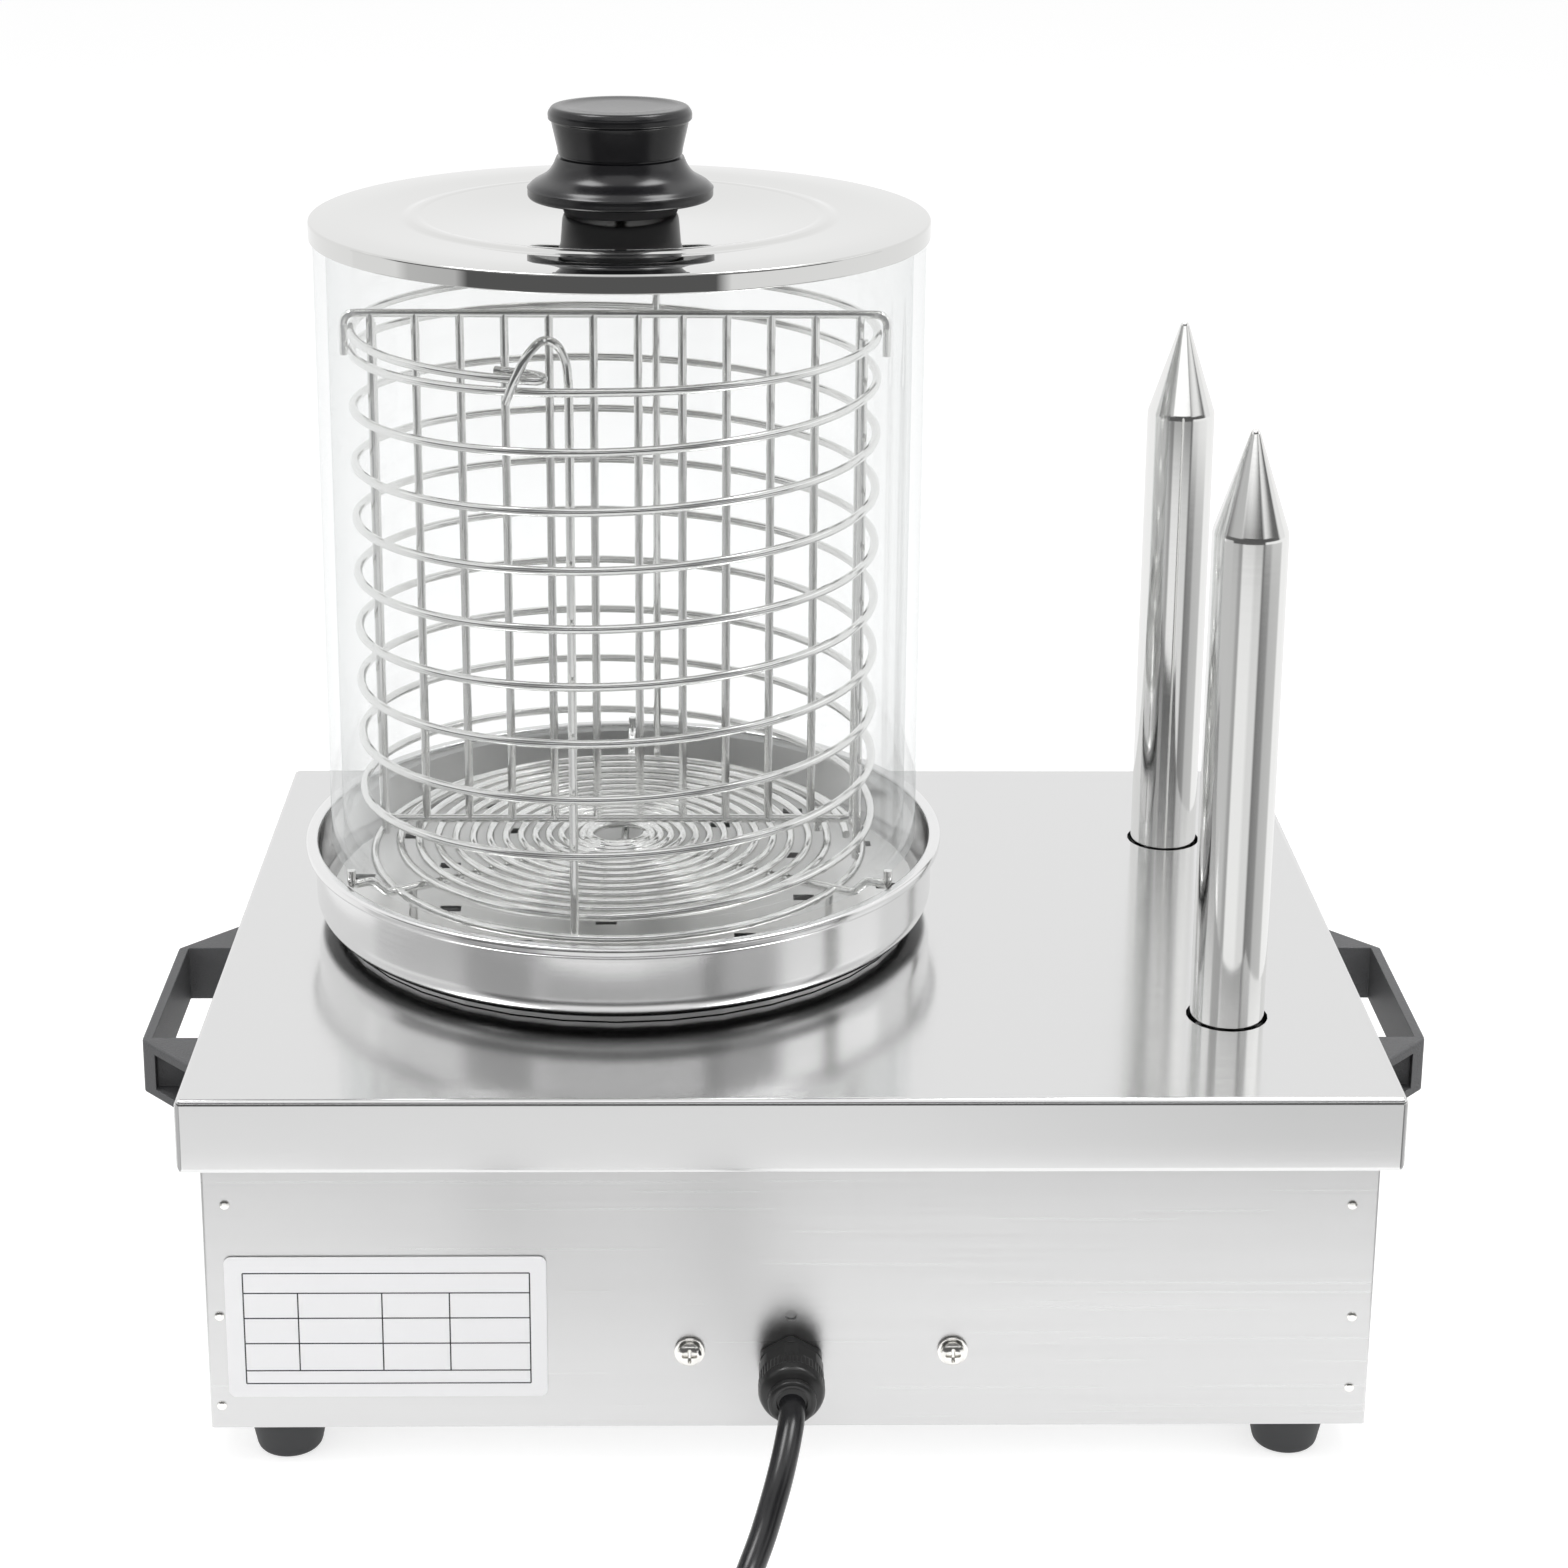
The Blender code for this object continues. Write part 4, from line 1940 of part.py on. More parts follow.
SWITCH_SHARES = ((0.5, 0.35, 0.5),)
for switch_x in (HEAT_SWITCH_X, SPIKE_SWITCH_X):
    start = (bundle_x, rise_y - WIRE_BRANCH_RADIUS / 2, rise_z - WIRE_BRANCH_RADIUS / 2)
    end = (switch_x, switch_back_y - BLOCK_DEPTH / 4, SWITCH_HEIGHT)
    branches.append(
        [start, *on_the_way(start, end, SWITCH_SHARES), end, (switch_x, switch_back_y, SWITCH_HEIGHT)]
    )
HEATER_SHARES = ((0.41, 0.4, 0.09), (0.86, 0.82, 0.5), (1, 1, 0.82))
for spike_y, start_y in (
    (FRONT_SPIKE_Y, FRONT_SPIKE_Y - BUNDLE_RISE),
    (REAR_SPIKE_Y, fall_end_y + WIRE_BUNDLE_RADIUS),
):
    start = (bundle_x, start_y, branch_z)
    end = (SPIKE_X, spike_y, heater_end_z)
    branches.append([start, *on_the_way(start, end, HEATER_SHARES), end])
ELEMENT_SHARES = ((0.41, 0.43, 0.06), (0.79, 0.91, 0.35), (1, 1, 0.775))
first_leg = element_points[0]
last_leg = element_points[-1]
start = (bundle_x, (fall_end_y + rise_y * 2) / 3 - ELEMENT_LEG, branch_z)
end = (last_leg.x, last_leg.y, leg_end_z)
branches.append([start, *on_the_way(start, end, ELEMENT_SHARES), end])
branches.append(
    [
        (last_leg.x, last_leg.y, leg_end_z - LINK_DROP),
        (AXIS_X, first_leg.y + WIRE_BUNDLE_RADIUS, leg_end_z - LINK_DROP - WIRE_BUNDLE_RADIUS * 2),
        (first_leg.x, first_leg.y, leg_end_z - LINK_DROP),
        (first_leg.x, first_leg.y, leg_end_z),
    ]
)
for route in branches:
    join(wiring, as_mesh(tube("branch", smooth_route(route, 2), WIRE_BRANCH_RADIUS, 1)))
part(wiring, paint("wiring", (0.75, 0.70, 0.60), 0.5))
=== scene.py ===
# %% [markdown]
# # A hot dog machine with a glass steamer and two spikes
#
# The CAD model gives every solid its place. This lesson dresses it: round pieces get smooth turned
# surfaces, wires get real wire sections, and each piece gets the finish that it has on the machine.
# The picture shows the rear, at -Y, and +Z is up.

# %% The CAD model
import math

import bmesh
import bpy
import numpy as np
from mathutils import Matrix, Vector


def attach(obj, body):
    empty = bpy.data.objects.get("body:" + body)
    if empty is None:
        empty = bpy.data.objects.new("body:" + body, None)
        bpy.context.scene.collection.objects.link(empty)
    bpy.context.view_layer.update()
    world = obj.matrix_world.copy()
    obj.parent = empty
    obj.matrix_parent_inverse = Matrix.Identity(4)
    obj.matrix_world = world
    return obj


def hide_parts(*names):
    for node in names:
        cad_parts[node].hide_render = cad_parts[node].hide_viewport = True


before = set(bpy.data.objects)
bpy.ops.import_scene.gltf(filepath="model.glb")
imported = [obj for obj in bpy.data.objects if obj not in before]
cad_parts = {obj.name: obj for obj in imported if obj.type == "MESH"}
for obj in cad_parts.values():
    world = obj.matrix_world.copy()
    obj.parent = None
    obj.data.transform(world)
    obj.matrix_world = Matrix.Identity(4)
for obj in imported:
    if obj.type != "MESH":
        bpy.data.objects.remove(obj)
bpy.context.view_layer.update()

# %% [markdown]
# ## Camera
# A product camera stands a metre away with a long lens and looks down on the cover. It could be aimed
# at a target, but three plain turns are easier to fit to a photo. The picture's middle is below the
# lens axis, so a small shift moves the frame and keeps the upright lines right.


# %% Camera
def new_object(name, data):
    """A new object with the data, linked to the scene."""
    made = bpy.data.objects.new(name, data)
    bpy.context.scene.collection.objects.link(made)
    return made


PITCH = 0.283
YAW = 0.021
ROLL = 0.008
camera_data = bpy.data.cameras.new("camera")
camera_data.sensor_width = 36
camera_data.lens = 73.55
camera_data.shift_y = -0.15
camera = new_object("camera", camera_data)
turned_to_rear = Matrix.Rotation(-YAW, 3, "Z")
looking_down = Matrix.Rotation(math.pi / 2 - PITCH, 3, "X")
rolled = Matrix.Rotation(ROLL, 3, "Z")
camera.location = (-0.022415, -1.010423, 0.550101)
camera.rotation_euler = (turned_to_rear @ looking_down @ rolled).to_euler()
bpy.context.scene.camera = camera
bpy.context.scene.view_settings.view_transform = "Standard"
print("camera at", tuple(round(value, 3) for value in camera.location))

# %% [markdown]
# ## From arrays to meshes
# Every new piece is a grid of points: rows along one parameter and columns along the other. Four
# neighbours make a face. A closed direction wraps round, and an open end is closed with a fan of
# triangles to one point, so that no piece has a hole in its skin.


# %% A grid of points becomes a mesh
def surface(grid, wrap_rows=False, poles=(None, None)):
    """Points P(i, j) with faces P(i, j), P(i, j+1), P(i+1, j+1), P(i+1, j). Columns always wrap round.

    Each pole is a point that closes the first or the last row with a fan.
    """
    rows, columns = grid.shape[:2]
    strips = rows if wrap_rows else rows - 1
    i, j = np.divmod(np.arange(strips * columns), columns)
    below, above = i * columns, (i + 1) % rows * columns
    next_j = (j + 1) % columns
    faces = [np.stack([below + j, below + next_j, above + next_j, above + j], axis=1)]
    points = [grid.reshape(-1, 3)]
    count = rows * columns
    around = np.arange(columns)
    ahead = (around + 1) % columns
    for pole, row, flip in zip(poles, (0, rows - 1), (True, False)):
        if pole is None:
            continue
        ring = row * columns
        tip = np.full(columns, count)
        first, second = (ahead, around) if flip else (around, ahead)
        faces.append(np.stack([tip, ring + first, ring + second], axis=1))
        points.append(np.array([pole], dtype=float))
        count += 1
    return np.concatenate(points), faces


SHARP_ANGLE = math.radians(30)


def mesh_of(name, surfaces):
    """One mesh from several surfaces, smooth apart from edges over the sharp angle."""
    points, corners, lengths = [], [], []
    offset = 0
    for own_points, own_faces in surfaces:
        points.append(own_points)
        for faces in own_faces:
            corners.append((faces + offset).ravel())
            lengths.append(np.full(len(faces), faces.shape[1]))
        offset += len(own_points)
    points, corners, lengths = (np.concatenate(rows) for rows in (points, corners, lengths))
    mesh = bpy.data.meshes.new(name)
    mesh.vertices.add(len(points))
    mesh.vertices.foreach_set("co", points.astype(np.float32).ravel())
    mesh.loops.add(len(corners))
    mesh.loops.foreach_set("vertex_index", corners.astype(np.int32))
    mesh.polygons.add(len(lengths))
    starts = np.concatenate([[0], np.cumsum(lengths)[:-1]])
    mesh.polygons.foreach_set("loop_start", starts.astype(np.int32))
    mesh.update(calc_edges=True)
    mesh.validate()
    mesh.shade_smooth()
    mesh.set_sharp_from_angle(angle=SHARP_ANGLE)
    return mesh


def piece(name, surfaces, finish, body="machine", instead_of=(), slot=None):
    """A named piece on one body, in place of the CAD nodes that it stands for."""
    shape = new_object(name, mesh_of(name, surfaces))
    shape.data.materials.append(finish)
    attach(shape, body)
    if instead_of:
        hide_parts(*instead_of)
    print(name, len(shape.data.polygons), "faces")
    return shape


# %% [markdown]
# ## Turned pieces and wires
# A turned piece is a profile of radius and height carried round an axis. A wire is a circle carried
# along a path. Rounded corners in a profile are short curves, because a real edge is never sharp.


# %% Profiles, turned pieces and wires
def soften(profile, reach, steps=5, closed=False):
    """Corner P becomes P + A (1-t)^2 + B t^2, where A and B reach towards the two neighbours.

    One more point on each straight part, P + 1.3 A or P + 1.3 B, keeps that part's shading flat.
    """
    corners = np.array(profile, dtype=float)
    before = np.roll(corners, 1, axis=0) - corners
    after = np.roll(corners, -1, axis=0) - corners
    long_before = np.linalg.norm(before, axis=1)
    long_after = np.linalg.norm(after, axis=1)
    room = np.minimum(np.minimum(long_before, long_after) * 0.37, reach)
    towards = before / np.maximum(long_before, 1e-9)[:, None] * room[:, None]
    onwards = after / np.maximum(long_after, 1e-9)[:, None] * room[:, None]
    t = np.linspace(0, 1, steps)[None, :, None]
    bent = corners[:, None] + towards[:, None] * (1 - t) ** 2 + onwards[:, None] * t**2
    before_bend = (corners + towards * 1.3)[:, None]
    after_bend = (corners + onwards * 1.3)[:, None]
    bent = np.concatenate([before_bend, bent, after_bend], axis=1)
    if closed:
        return bent.reshape(-1, corners.shape[1])
    inner = bent[1:-1].reshape(-1, corners.shape[1])
    return np.concatenate([corners[:1], inner, corners[-1:]])


UP = ((1, 0, 0), (0, 1, 0), (0, 0, 1))
TO_REAR = ((1, 0, 0), (0, 0, 1), (0, -1, 0))
TO_FRONT = ((-1, 0, 0), (0, 0, 1), (0, 1, 0))
TO_LEFT = ((0, 1, 0), (0, 0, 1), (-1, 0, 0))


def lathe(profile, place, sides=128, ring=False, axes=UP, wave=None):
    """P(i, j) = place + r_i cos a_j X + r_i sin a_j Y + z_i Z, with X, Y and Z the given axes.

    A wave(angles, heights) array multiplies the radius. A profile runs up on its outer side.
    """
    profile = np.array(profile, dtype=float)
    x_axis, y_axis, z_axis = np.array(axes, dtype=float)
    place = np.array(place, dtype=float)
    poles = (None, None)
    if not ring:
        poles = [place + z_axis * profile[end][1] for end in (0, -1)]
        if profile[0][0] < 1e-7:
            profile = profile[1:]
        if profile[-1][0] < 1e-7:
            profile = profile[:-1]
    angles = np.arange(sides) * math.tau / sides
    radii = np.repeat(profile[:, :1], sides, axis=1)
    if wave is not None:
        radii = radii * wave(angles[None, :], profile[:, 1:2])
    grid = (
        place
        + (radii * np.cos(angles))[..., None] * x_axis
        + (radii * np.sin(angles))[..., None] * y_axis
        + profile[:, 1][:, None, None] * z_axis
    )
    return surface(grid, ring, poles)


def smooth(points, steps):
    """A curve through the points: on each span, the cubic whose ends lean along their neighbours."""
    knots = np.array(points, dtype=float)
    padded = np.concatenate([[knots[0] * 2 - knots[1]], knots, [knots[-1] * 2 - knots[-2]]])
    a, b, c, d = padded[:-3], padded[1:-2], padded[2:-1], padded[3:]
    t = (np.arange(steps) / steps)[None, :, None]
    a, b, c, d = a[:, None], b[:, None], c[:, None], d[:, None]
    curve = (
        b * 2
        + (c - a) * t
        + (a * 2 - b * 5 + c * 4 - d) * t**2
        + (b * 3 - a - c * 3 + d) * t**3
    ) / 2
    return np.concatenate([curve.reshape(-1, knots.shape[1]), knots[-1:]])


def wire(path, radius, sides=12, reference=(0, 0, 1), closed=False):
    """P(s, a) = C(s) + r (cos a N + sin a B), with N across both the path and the reference."""
    path = np.array(path, dtype=float)
    if closed:
        along = np.roll(path, -1, axis=0) - np.roll(path, 1, axis=0)
    else:
        along = np.gradient(path, axis=0)
    along /= np.linalg.norm(along, axis=1)[:, None]
    across = np.cross(along, np.array(reference, dtype=float))
    across /= np.linalg.norm(across, axis=1)[:, None]
    third = np.cross(along, across)
    angles = np.arange(sides) * math.tau / sides
    radii = np.broadcast_to(np.asarray(radius, dtype=float), (len(path),))
    grid = path[:, None] + radii[:, None, None] * (
        np.cos(angles)[None, :, None] * across[:, None]
        + np.sin(angles)[None, :, None] * third[:, None]
    )
    poles = (None, None) if closed else (path[0], path[-1])
    return surface(grid, closed, poles)


def turned(name, profile, place, finish, body, node, slot, sides=128, **how):
    """A piece that is one profile turned about an axis, in place of its CAD node."""
    return piece(name, [lathe(profile, place, sides, **how)], finish, body, (node,), slot)


def band(inner, outer, low, high):
    """The four corners of a plain ring's or disc's profile."""
    return [(inner, low), (outer, low), (outer, high), (inner, high)]


def polar(radius, angle, height, centre):
    """P = centre + r (cos a, sin a), at a height z, for whole arrays of r, a and z."""
    radius, angle, height = np.broadcast_arrays(radius, angle, height)
    x, y = centre[0] + radius * np.cos(angle), centre[1] + radius * np.sin(angle)
    return np.stack([x, y, height], axis=-1)


# %% [markdown]
# ## Finishes
# Steel is a metallic shader with a grey colour. Its brushed lines are far finer than a pixel, so they
# show as a blurred reflection that is longer across the lines: that is anisotropy. A stretched noise
# adds the few coarser scratches that the eye still sees. A picture of brushed steel would do too, but
# a worked-out pattern has no seams and fits every size.


# %% Metal and plastic shaders
def join(tree, *links):
    """Joins sockets. Each link is a node with its output, then the next node with its input."""
    for source, output, target, entry in links:
        tree.links.new(source.outputs[output], target.inputs[entry])


def set_inputs(target, **inputs):
    """Sets a shader node's inputs. An underscore in a name stands for a space."""
    for entry, value in inputs.items():
        target.inputs[entry.replace("_", " ")].default_value = value
    return target


def new_node(tree, kind, **inputs):
    """A new shader node with its inputs set."""
    return set_inputs(tree.nodes.new("ShaderNode" + kind), **inputs)


def shader_of(name):
    """A new material with its node tree and its main shader."""
    made = bpy.data.materials.new(name)
    made.use_nodes = True
    return made, made.node_tree, made.node_tree.nodes["Principled BSDF"]


def bare_material(name):
    """A new material with a node tree that holds only its output."""
    made, tree, _ = shader_of(name)
    tree.nodes.clear()
    return made, tree, new_node(tree, "OutputMaterial")


def plain(name, colour, roughness, metallic=0.0, grain=0.0, grain_size=0.0004, coat=0.0):
    """One colour and roughness, with a fine moulded grain if asked."""
    made, tree, shader = shader_of(name)
    set_inputs(shader, Base_Color=(*colour, 1), Roughness=roughness)
    set_inputs(shader, Metallic=metallic, Coat_Weight=coat)
    if grain:
        place = new_node(tree, "TexCoord")
        noise = new_node(tree, "TexNoise", Scale=1 / grain_size, Detail=2)
        bump = new_node(tree, "Bump", Strength=grain, Distance=grain_size / 2)
        join(
            tree,
            (place, "Object", noise, "Vector"),
            (noise, "Fac", bump, "Height"),
            (bump, "Normal", shader, "Normal"),
        )
    return made


def brushed(name, colour, roughness, lines, across, anisotropy=0.6, depth=0.01, spread=0.1):
    """Metal with lines. Lines is the noise scale along X, Y and Z: small along the brushing.

    Across is the direction in which the lines blur a reflection.
    """
    made, tree, shader = shader_of(name)
    set_inputs(shader, Base_Color=(*colour, 1), Metallic=1, Anisotropic=anisotropy)
    place = new_node(tree, "TexCoord")
    stretch = new_node(tree, "Mapping", Scale=lines)
    noise = new_node(tree, "TexNoise", Scale=1, Detail=3)
    low, high = roughness * (1 - spread), roughness * (1 + spread)
    vary = new_node(tree, "MapRange", From_Min=0.3, From_Max=0.7, To_Min=low, To_Max=high)
    bump = new_node(tree, "Bump", Strength=depth, Distance=0.0001)
    blur = new_node(tree, "CombineXYZ", X=across[0], Y=across[1], Z=across[2])
    join(
        tree,
        (place, "Object", stretch, "Vector"),
        (stretch, "Vector", noise, "Vector"),
        (noise, "Fac", vary, "Value"),
        (vary, "Result", shader, "Roughness"),
        (noise, "Fac", bump, "Height"),
        (bump, "Normal", shader, "Normal"),
        (blur, "Vector", shader, "Tangent"),
    )
    return made


def round_glass(name):
    """A thin clear wall: it passes most light, and mirrors 2% to 60% of it as the eye grazes it."""
    made, tree, out = bare_material(name)
    clear = new_node(tree, "BsdfTransparent", Color=(0.970, 0.972, 0.972, 1))
    shine = new_node(tree, "BsdfGlossy", Roughness=0.01, Color=(0.92, 0.93, 0.93, 1))
    slant = new_node(tree, "LayerWeight", Blend=0.5)
    steep = new_node(tree, "Math")
    steep.operation = "POWER"
    steep.inputs[1].default_value = 3
    amount = new_node(tree, "MapRange", To_Min=0.02, To_Max=0.6)
    both = new_node(tree, "MixShader")
    join(
        tree,
        (slant, "Facing", steep, 0),
        (steep, "Value", amount, "Value"),
        (amount, "Result", both, "Fac"),
        (clear, "BSDF", both, 1),
        (shine, "BSDF", both, 2),
        (both, "Shader", out, "Surface"),
    )
    return made


LINES_ALONG_X = (6, 900, 900)
LINES_AROUND = (8, 8, 1600)
ACROSS_X = (0, 0.7071, 0.7071)
UPWARD = (0, 0, 1)

cover_steel = brushed("cover_steel", (0.73, 0.73, 0.73), 0.14, LINES_ALONG_X, ACROSS_X, 0.5)
body_steel = brushed("body_steel", (0.67, 0.67, 0.67), 0.30, LINES_ALONG_X, ACROSS_X, 0.5)
inner_steel = plain("inner_steel", (0.62, 0.62, 0.62), 0.4, 1)
tray_steel = brushed("tray_steel", (0.82, 0.82, 0.81), 0.17, LINES_AROUND, UPWARD, 0.6)
spike_steel = brushed("spike_steel", (0.84, 0.84, 0.83), 0.09, LINES_AROUND, UPWARD, 0.6, 0.004)
lid_steel = plain("lid_steel", (0.69, 0.69, 0.68), 0.03, 1)
wire_steel = plain("wire_steel", (0.88, 0.88, 0.87), 0.14, 1)
plate_steel = plain("plate_steel", (0.90, 0.90, 0.89), 0.35, 1)
screw_steel = plain("screw_steel", (0.88, 0.87, 0.84), 0.15, 1)
plate_aluminium = plain("plate_aluminium", (0.66, 0.66, 0.66), 0.4, 1)
element_steel = plain("element_steel", (0.30, 0.29, 0.28), 0.5, 1)
copper = plain("copper", (0.72, 0.42, 0.28), 0.35, 1)
brown_plastic = plain("brown_plastic", (0.16, 0.09, 0.06), 0.5)
block_plastic = plain("block_plastic", (0.80, 0.79, 0.72), 0.45)
wire_sleeve = plain("wire_sleeve", (0.68, 0.64, 0.54), 0.8, grain=0.5, grain_size=0.0008)
handle_plastic = plain("handle_plastic", (0.085, 0.086, 0.089), 0.5, grain=0.8, grain_size=0.0006)
knob_plastic = plain("knob_plastic", (0.005, 0.005, 0.006), 0.22, grain=0.05)
# Painted light: the collar is the knob's black plastic, lightened to stand in for the light that the
# mirror lid throws up onto it.
collar_black_with_painted_light = plain("collar_black_with_painted_light", (0.055, 0.055, 0.057), 0.3)
foot_rubber = plain("foot_rubber", (0.04, 0.041, 0.043), 0.6, grain=0.2)
gland_plastic = plain("gland_plastic", (0.012, 0.012, 0.012), 0.3, grain=0.06)
cord_rubber = plain("cord_rubber", (0.007, 0.007, 0.008), 0.25)
switch_plastic = plain("switch_plastic", (0.022, 0.022, 0.023), 0.35)
dial_plastic = plain("dial_plastic", (0.02, 0.02, 0.021), 0.45)
red_rocker = plain("red_rocker", (0.50, 0.015, 0.012), 0.25)
green_rocker = plain("green_rocker", (0.015, 0.26, 0.05), 0.25)
lamp_red = plain("lamp_red", (0.62, 0.02, 0.015), 0.12, coat=0.5)
label_white = plain("label_white", (0.97, 0.97, 0.98), 0.45)
ink = plain("ink", (0.02, 0.02, 0.022), 0.5)
print_white = plain("print_white", (0.82, 0.82, 0.80), 0.5)
clear_glass = round_glass("clear_glass")

# Painted shade: the tray's base colour falls from 0.82 to 0.08 where its outer underside is marked.
tray_tree = tray_steel.node_tree
painted_shade_attribute = new_node(tray_tree, "Attribute")
painted_shade_attribute.attribute_name = "painted_shade"
tray_painted_shade_grey = new_node(tray_tree, "MapRange", To_Min=0.82, To_Max=0.08)
join(
    tray_tree,
    (painted_shade_attribute, "Fac", tray_painted_shade_grey, "Value"),
    (tray_painted_shade_grey, "Result", tray_tree.nodes["Principled BSDF"], "Base Color"),
)
print("materials", len(bpy.data.materials))

# %% [markdown]
# ## CAD nodes that keep their shape
# Hidden pieces and flat sheet are right as they are. They could be made again, but that would add
# nothing that is seen, so they only take a finish.

# %% Finishes for the CAD nodes
NODE_FINISHES = {
    inner_steel: ("bottom_plate", "terminal_bracket", "element_clamp", "spike_bracket"),
    plate_steel: ("perforated_plate",),
    screw_steel: ("clamp_nut", "thermostat_shaft", "rear_spike_nut", "front_spike_nut", "lid_screw"),
    plate_aluminium: ("heating_plate",),
    element_steel: ("heating_element", "rear_spike_heater", "front_spike_heater"),
    copper: ("thermostat_bulb", "capillary_tube"),
    brown_plastic: ("thermal_cutout", "thermostat_body"),
    block_plastic: ("terminal_block",),
    wire_sleeve: ("wiring",),
    gland_plastic: ("gland_locknut",),
    cord_rubber: ("supply_lead",),
    switch_plastic: ("heat_switch_housing", "spike_switch_housing"),
    red_rocker: ("heat_switch_rocker",),
    green_rocker: ("spike_switch_rocker",),
}
for finish, node_names in NODE_FINISHES.items():
    for node_name in node_names:
        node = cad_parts[node_name]
        node.data.materials.clear()
        node.data.materials.append(finish)
print("finishes on", sum(len(names) for names in NODE_FINISHES.values()), "CAD nodes")

# %% [markdown]
# ## Folded boxes and handles with rounded edges
# A folded sheet has no sharp edge: each fold is a small curve that catches a line of light, and a
# moulded handle is rounded all round. Drawing them again would risk another size, so a copy of each
# CAD node is merged and gets a bevel there.


# %% Rounded copies of the cover, the shell and the handles
def mark_folds(mesh):
    """Marks each edge that lies on two faces of the piece's box, apart from the underside."""
    points = np.array([vertex.co[:] for vertex in mesh.vertices])
    low, high = points.min(axis=0), points.max(axis=0)
    at_high, at_low = np.abs(points - high) < 1e-5, np.abs(points[:, :2] - low[:2]) < 1e-5
    on_faces = np.column_stack([at_high, at_low])
    ends = np.array([edge.vertices[:] for edge in mesh.edges])
    shared = on_faces[ends[:, 0]] & on_faces[ends[:, 1]]
    folds = shared.sum(axis=1) >= 2
    weights = mesh.attributes.new("bevel_weight_edge", "FLOAT", "EDGE")
    weights.data.foreach_set("value", folds.astype(np.float32))
    mesh.set_sharp_from_angle(angle=SHARP_ANGLE)
    sharp = mesh.attributes["sharp_edge"].data
    for index in np.flatnonzero(folds):
        sharp[index].value = False
    return int(folds.sum())


def rounded_copy(node_name, name, finish, slot, width, folds_only):
    """A merged copy of the CAD node with a bevel on its folds, or on each edge over 30 degrees."""
    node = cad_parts[node_name]
    mesh = node.data.copy()
    mesh.name = name
    work = bmesh.new()
    work.from_mesh(mesh)
    bmesh.ops.transform(work, matrix=node.matrix_world, verts=work.verts)
    bmesh.ops.remove_doubles(work, verts=work.verts, dist=1e-6)
    flat = math.radians(1)
    bmesh.ops.dissolve_limit(work, angle_limit=flat, verts=work.verts, edges=work.edges)
    work.to_mesh(mesh)
    work.free()
    mesh.materials.clear()
    mesh.materials.append(finish)
    mesh.shade_smooth()
    marked = mark_folds(mesh) if folds_only else 0
    shape = new_object(name, mesh)
    bevel = shape.modifiers.new("rounded_edges", "BEVEL")
    bevel.width = width
    bevel.segments = 4
    bevel.limit_method = "WEIGHT" if folds_only else "ANGLE"
    flat_faces = shape.modifiers.new("flat_faces", "WEIGHTED_NORMAL")
    flat_faces.keep_sharp = True
    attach(shape, "machine")
    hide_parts(node_name)
    print(name, len(mesh.polygons), "faces before the bevel,", marked, "folds")


rounded_copy("top_cover", "cover_folded", cover_steel, "cover_steel", 0.0010, True)
rounded_copy("base_shell", "shell_folded", body_steel, "body_steel", 0.0008, True)
HANDLE_LOOK = (handle_plastic, "handle_plastic", 0.0009, False)
for handle_name in ("left_handle", "right_handle"):
    rounded_copy(handle_name, handle_name + "_moulded", *HANDLE_LOOK)

# %% [markdown]
# ## Mains cord
# The cord leaves the gland, falls to the table in a bow and lies stored in a small coil with the plug
# beside it. A cord is stiff, so each bend is wide. Hanging it by simulation would differ each time, so
# the coil is an angle that keeps falling while the radius and the height step from turn to turn, and
# no turn lies in another.

# %% Mains cord
CORD_RADIUS = 0.004
CORD_LOW = 0.0041
COIL_CENTRE = (-0.060, -0.292)
LAYER = CORD_RADIUS * 2
OUTER_TURN = 0.048
INNER_TURN = 0.040
GLAND_Z = 0.035
CORD_EXIT = (0, -0.1593, GLAND_Z)


def eased(angle, start, end):
    """0 before the start, 1 after the end, and 3t^2 - 2t^3 between."""
    t = np.clip((angle - start) / (end - start), 0, 1)
    return t * t * (3 - 2 * t)


falling = [CORD_EXIT, (-0.0008, -0.1700, 0.0335), (-0.0040, -0.1830, 0.0255)]
falling += [(-0.0090, -0.1950, 0.0140), (-0.0145, -0.2085, 0.0060)]
lying = [(-0.0175, -0.2260), (-0.0160, -0.2440), (-0.0130, -0.2650), (-0.0120, -0.2800)]
lying += [(COIL_CENTRE[0] + OUTER_TURN, COIL_CENTRE[1])]
fall = smooth(falling + [(x, y, CORD_LOW) for x, y in lying], 6)
turning = np.radians(np.arange(5, 1531, 5))
STEPS = np.radians([(290, 360), (600, 650), (890, 960), (1190, 1250), (1250, 1320)])
eased_steps = [eased(turning, start, end) for start, end in STEPS]
step_in, first_rise, step_out, second_rise, last_step_in = eased_steps
coil_radius = OUTER_TURN - LAYER * (step_in - step_out + last_step_in)
coil_height = CORD_LOW + LAYER * (first_rise + second_rise)
coil = polar(coil_radius, -turning, coil_height, COIL_CENTRE)
boot_tip = np.array([-0.0972, COIL_CENTRE[1] - INNER_TURN, 0.020])
share = np.linspace(0.1, 1, 8)[:, None]
last_run = coil[-1] * (1 - share) + (boot_tip - (0.003, 0, 0)) * share
cord_path = np.concatenate([fall, coil, last_run])

cord = piece(
    "mains_cord_wire",
    [wire(cord_path, CORD_RADIUS, 20)],
    cord_rubber,
    instead_of=("mains_cord", "cord_coil"),
    slot="cord_rubber",
)

# %% Plug with its boot and pins
BOOT_CORNERS = [(0, 0), (0.0052, 0), (0.0062, 0.014), (0.0078, 0.036), (0.0165, 0.0362)]
GRIP_CORNERS = [(0.0197, 0.043), (0.0197, 0.062), (0.0185, 0.066), (0, 0.066)]
PLUG_PROFILE = soften(BOOT_CORNERS + GRIP_CORNERS, 0.002)
BOOT_FROM, BOOT_TO = 0.004, 0.032


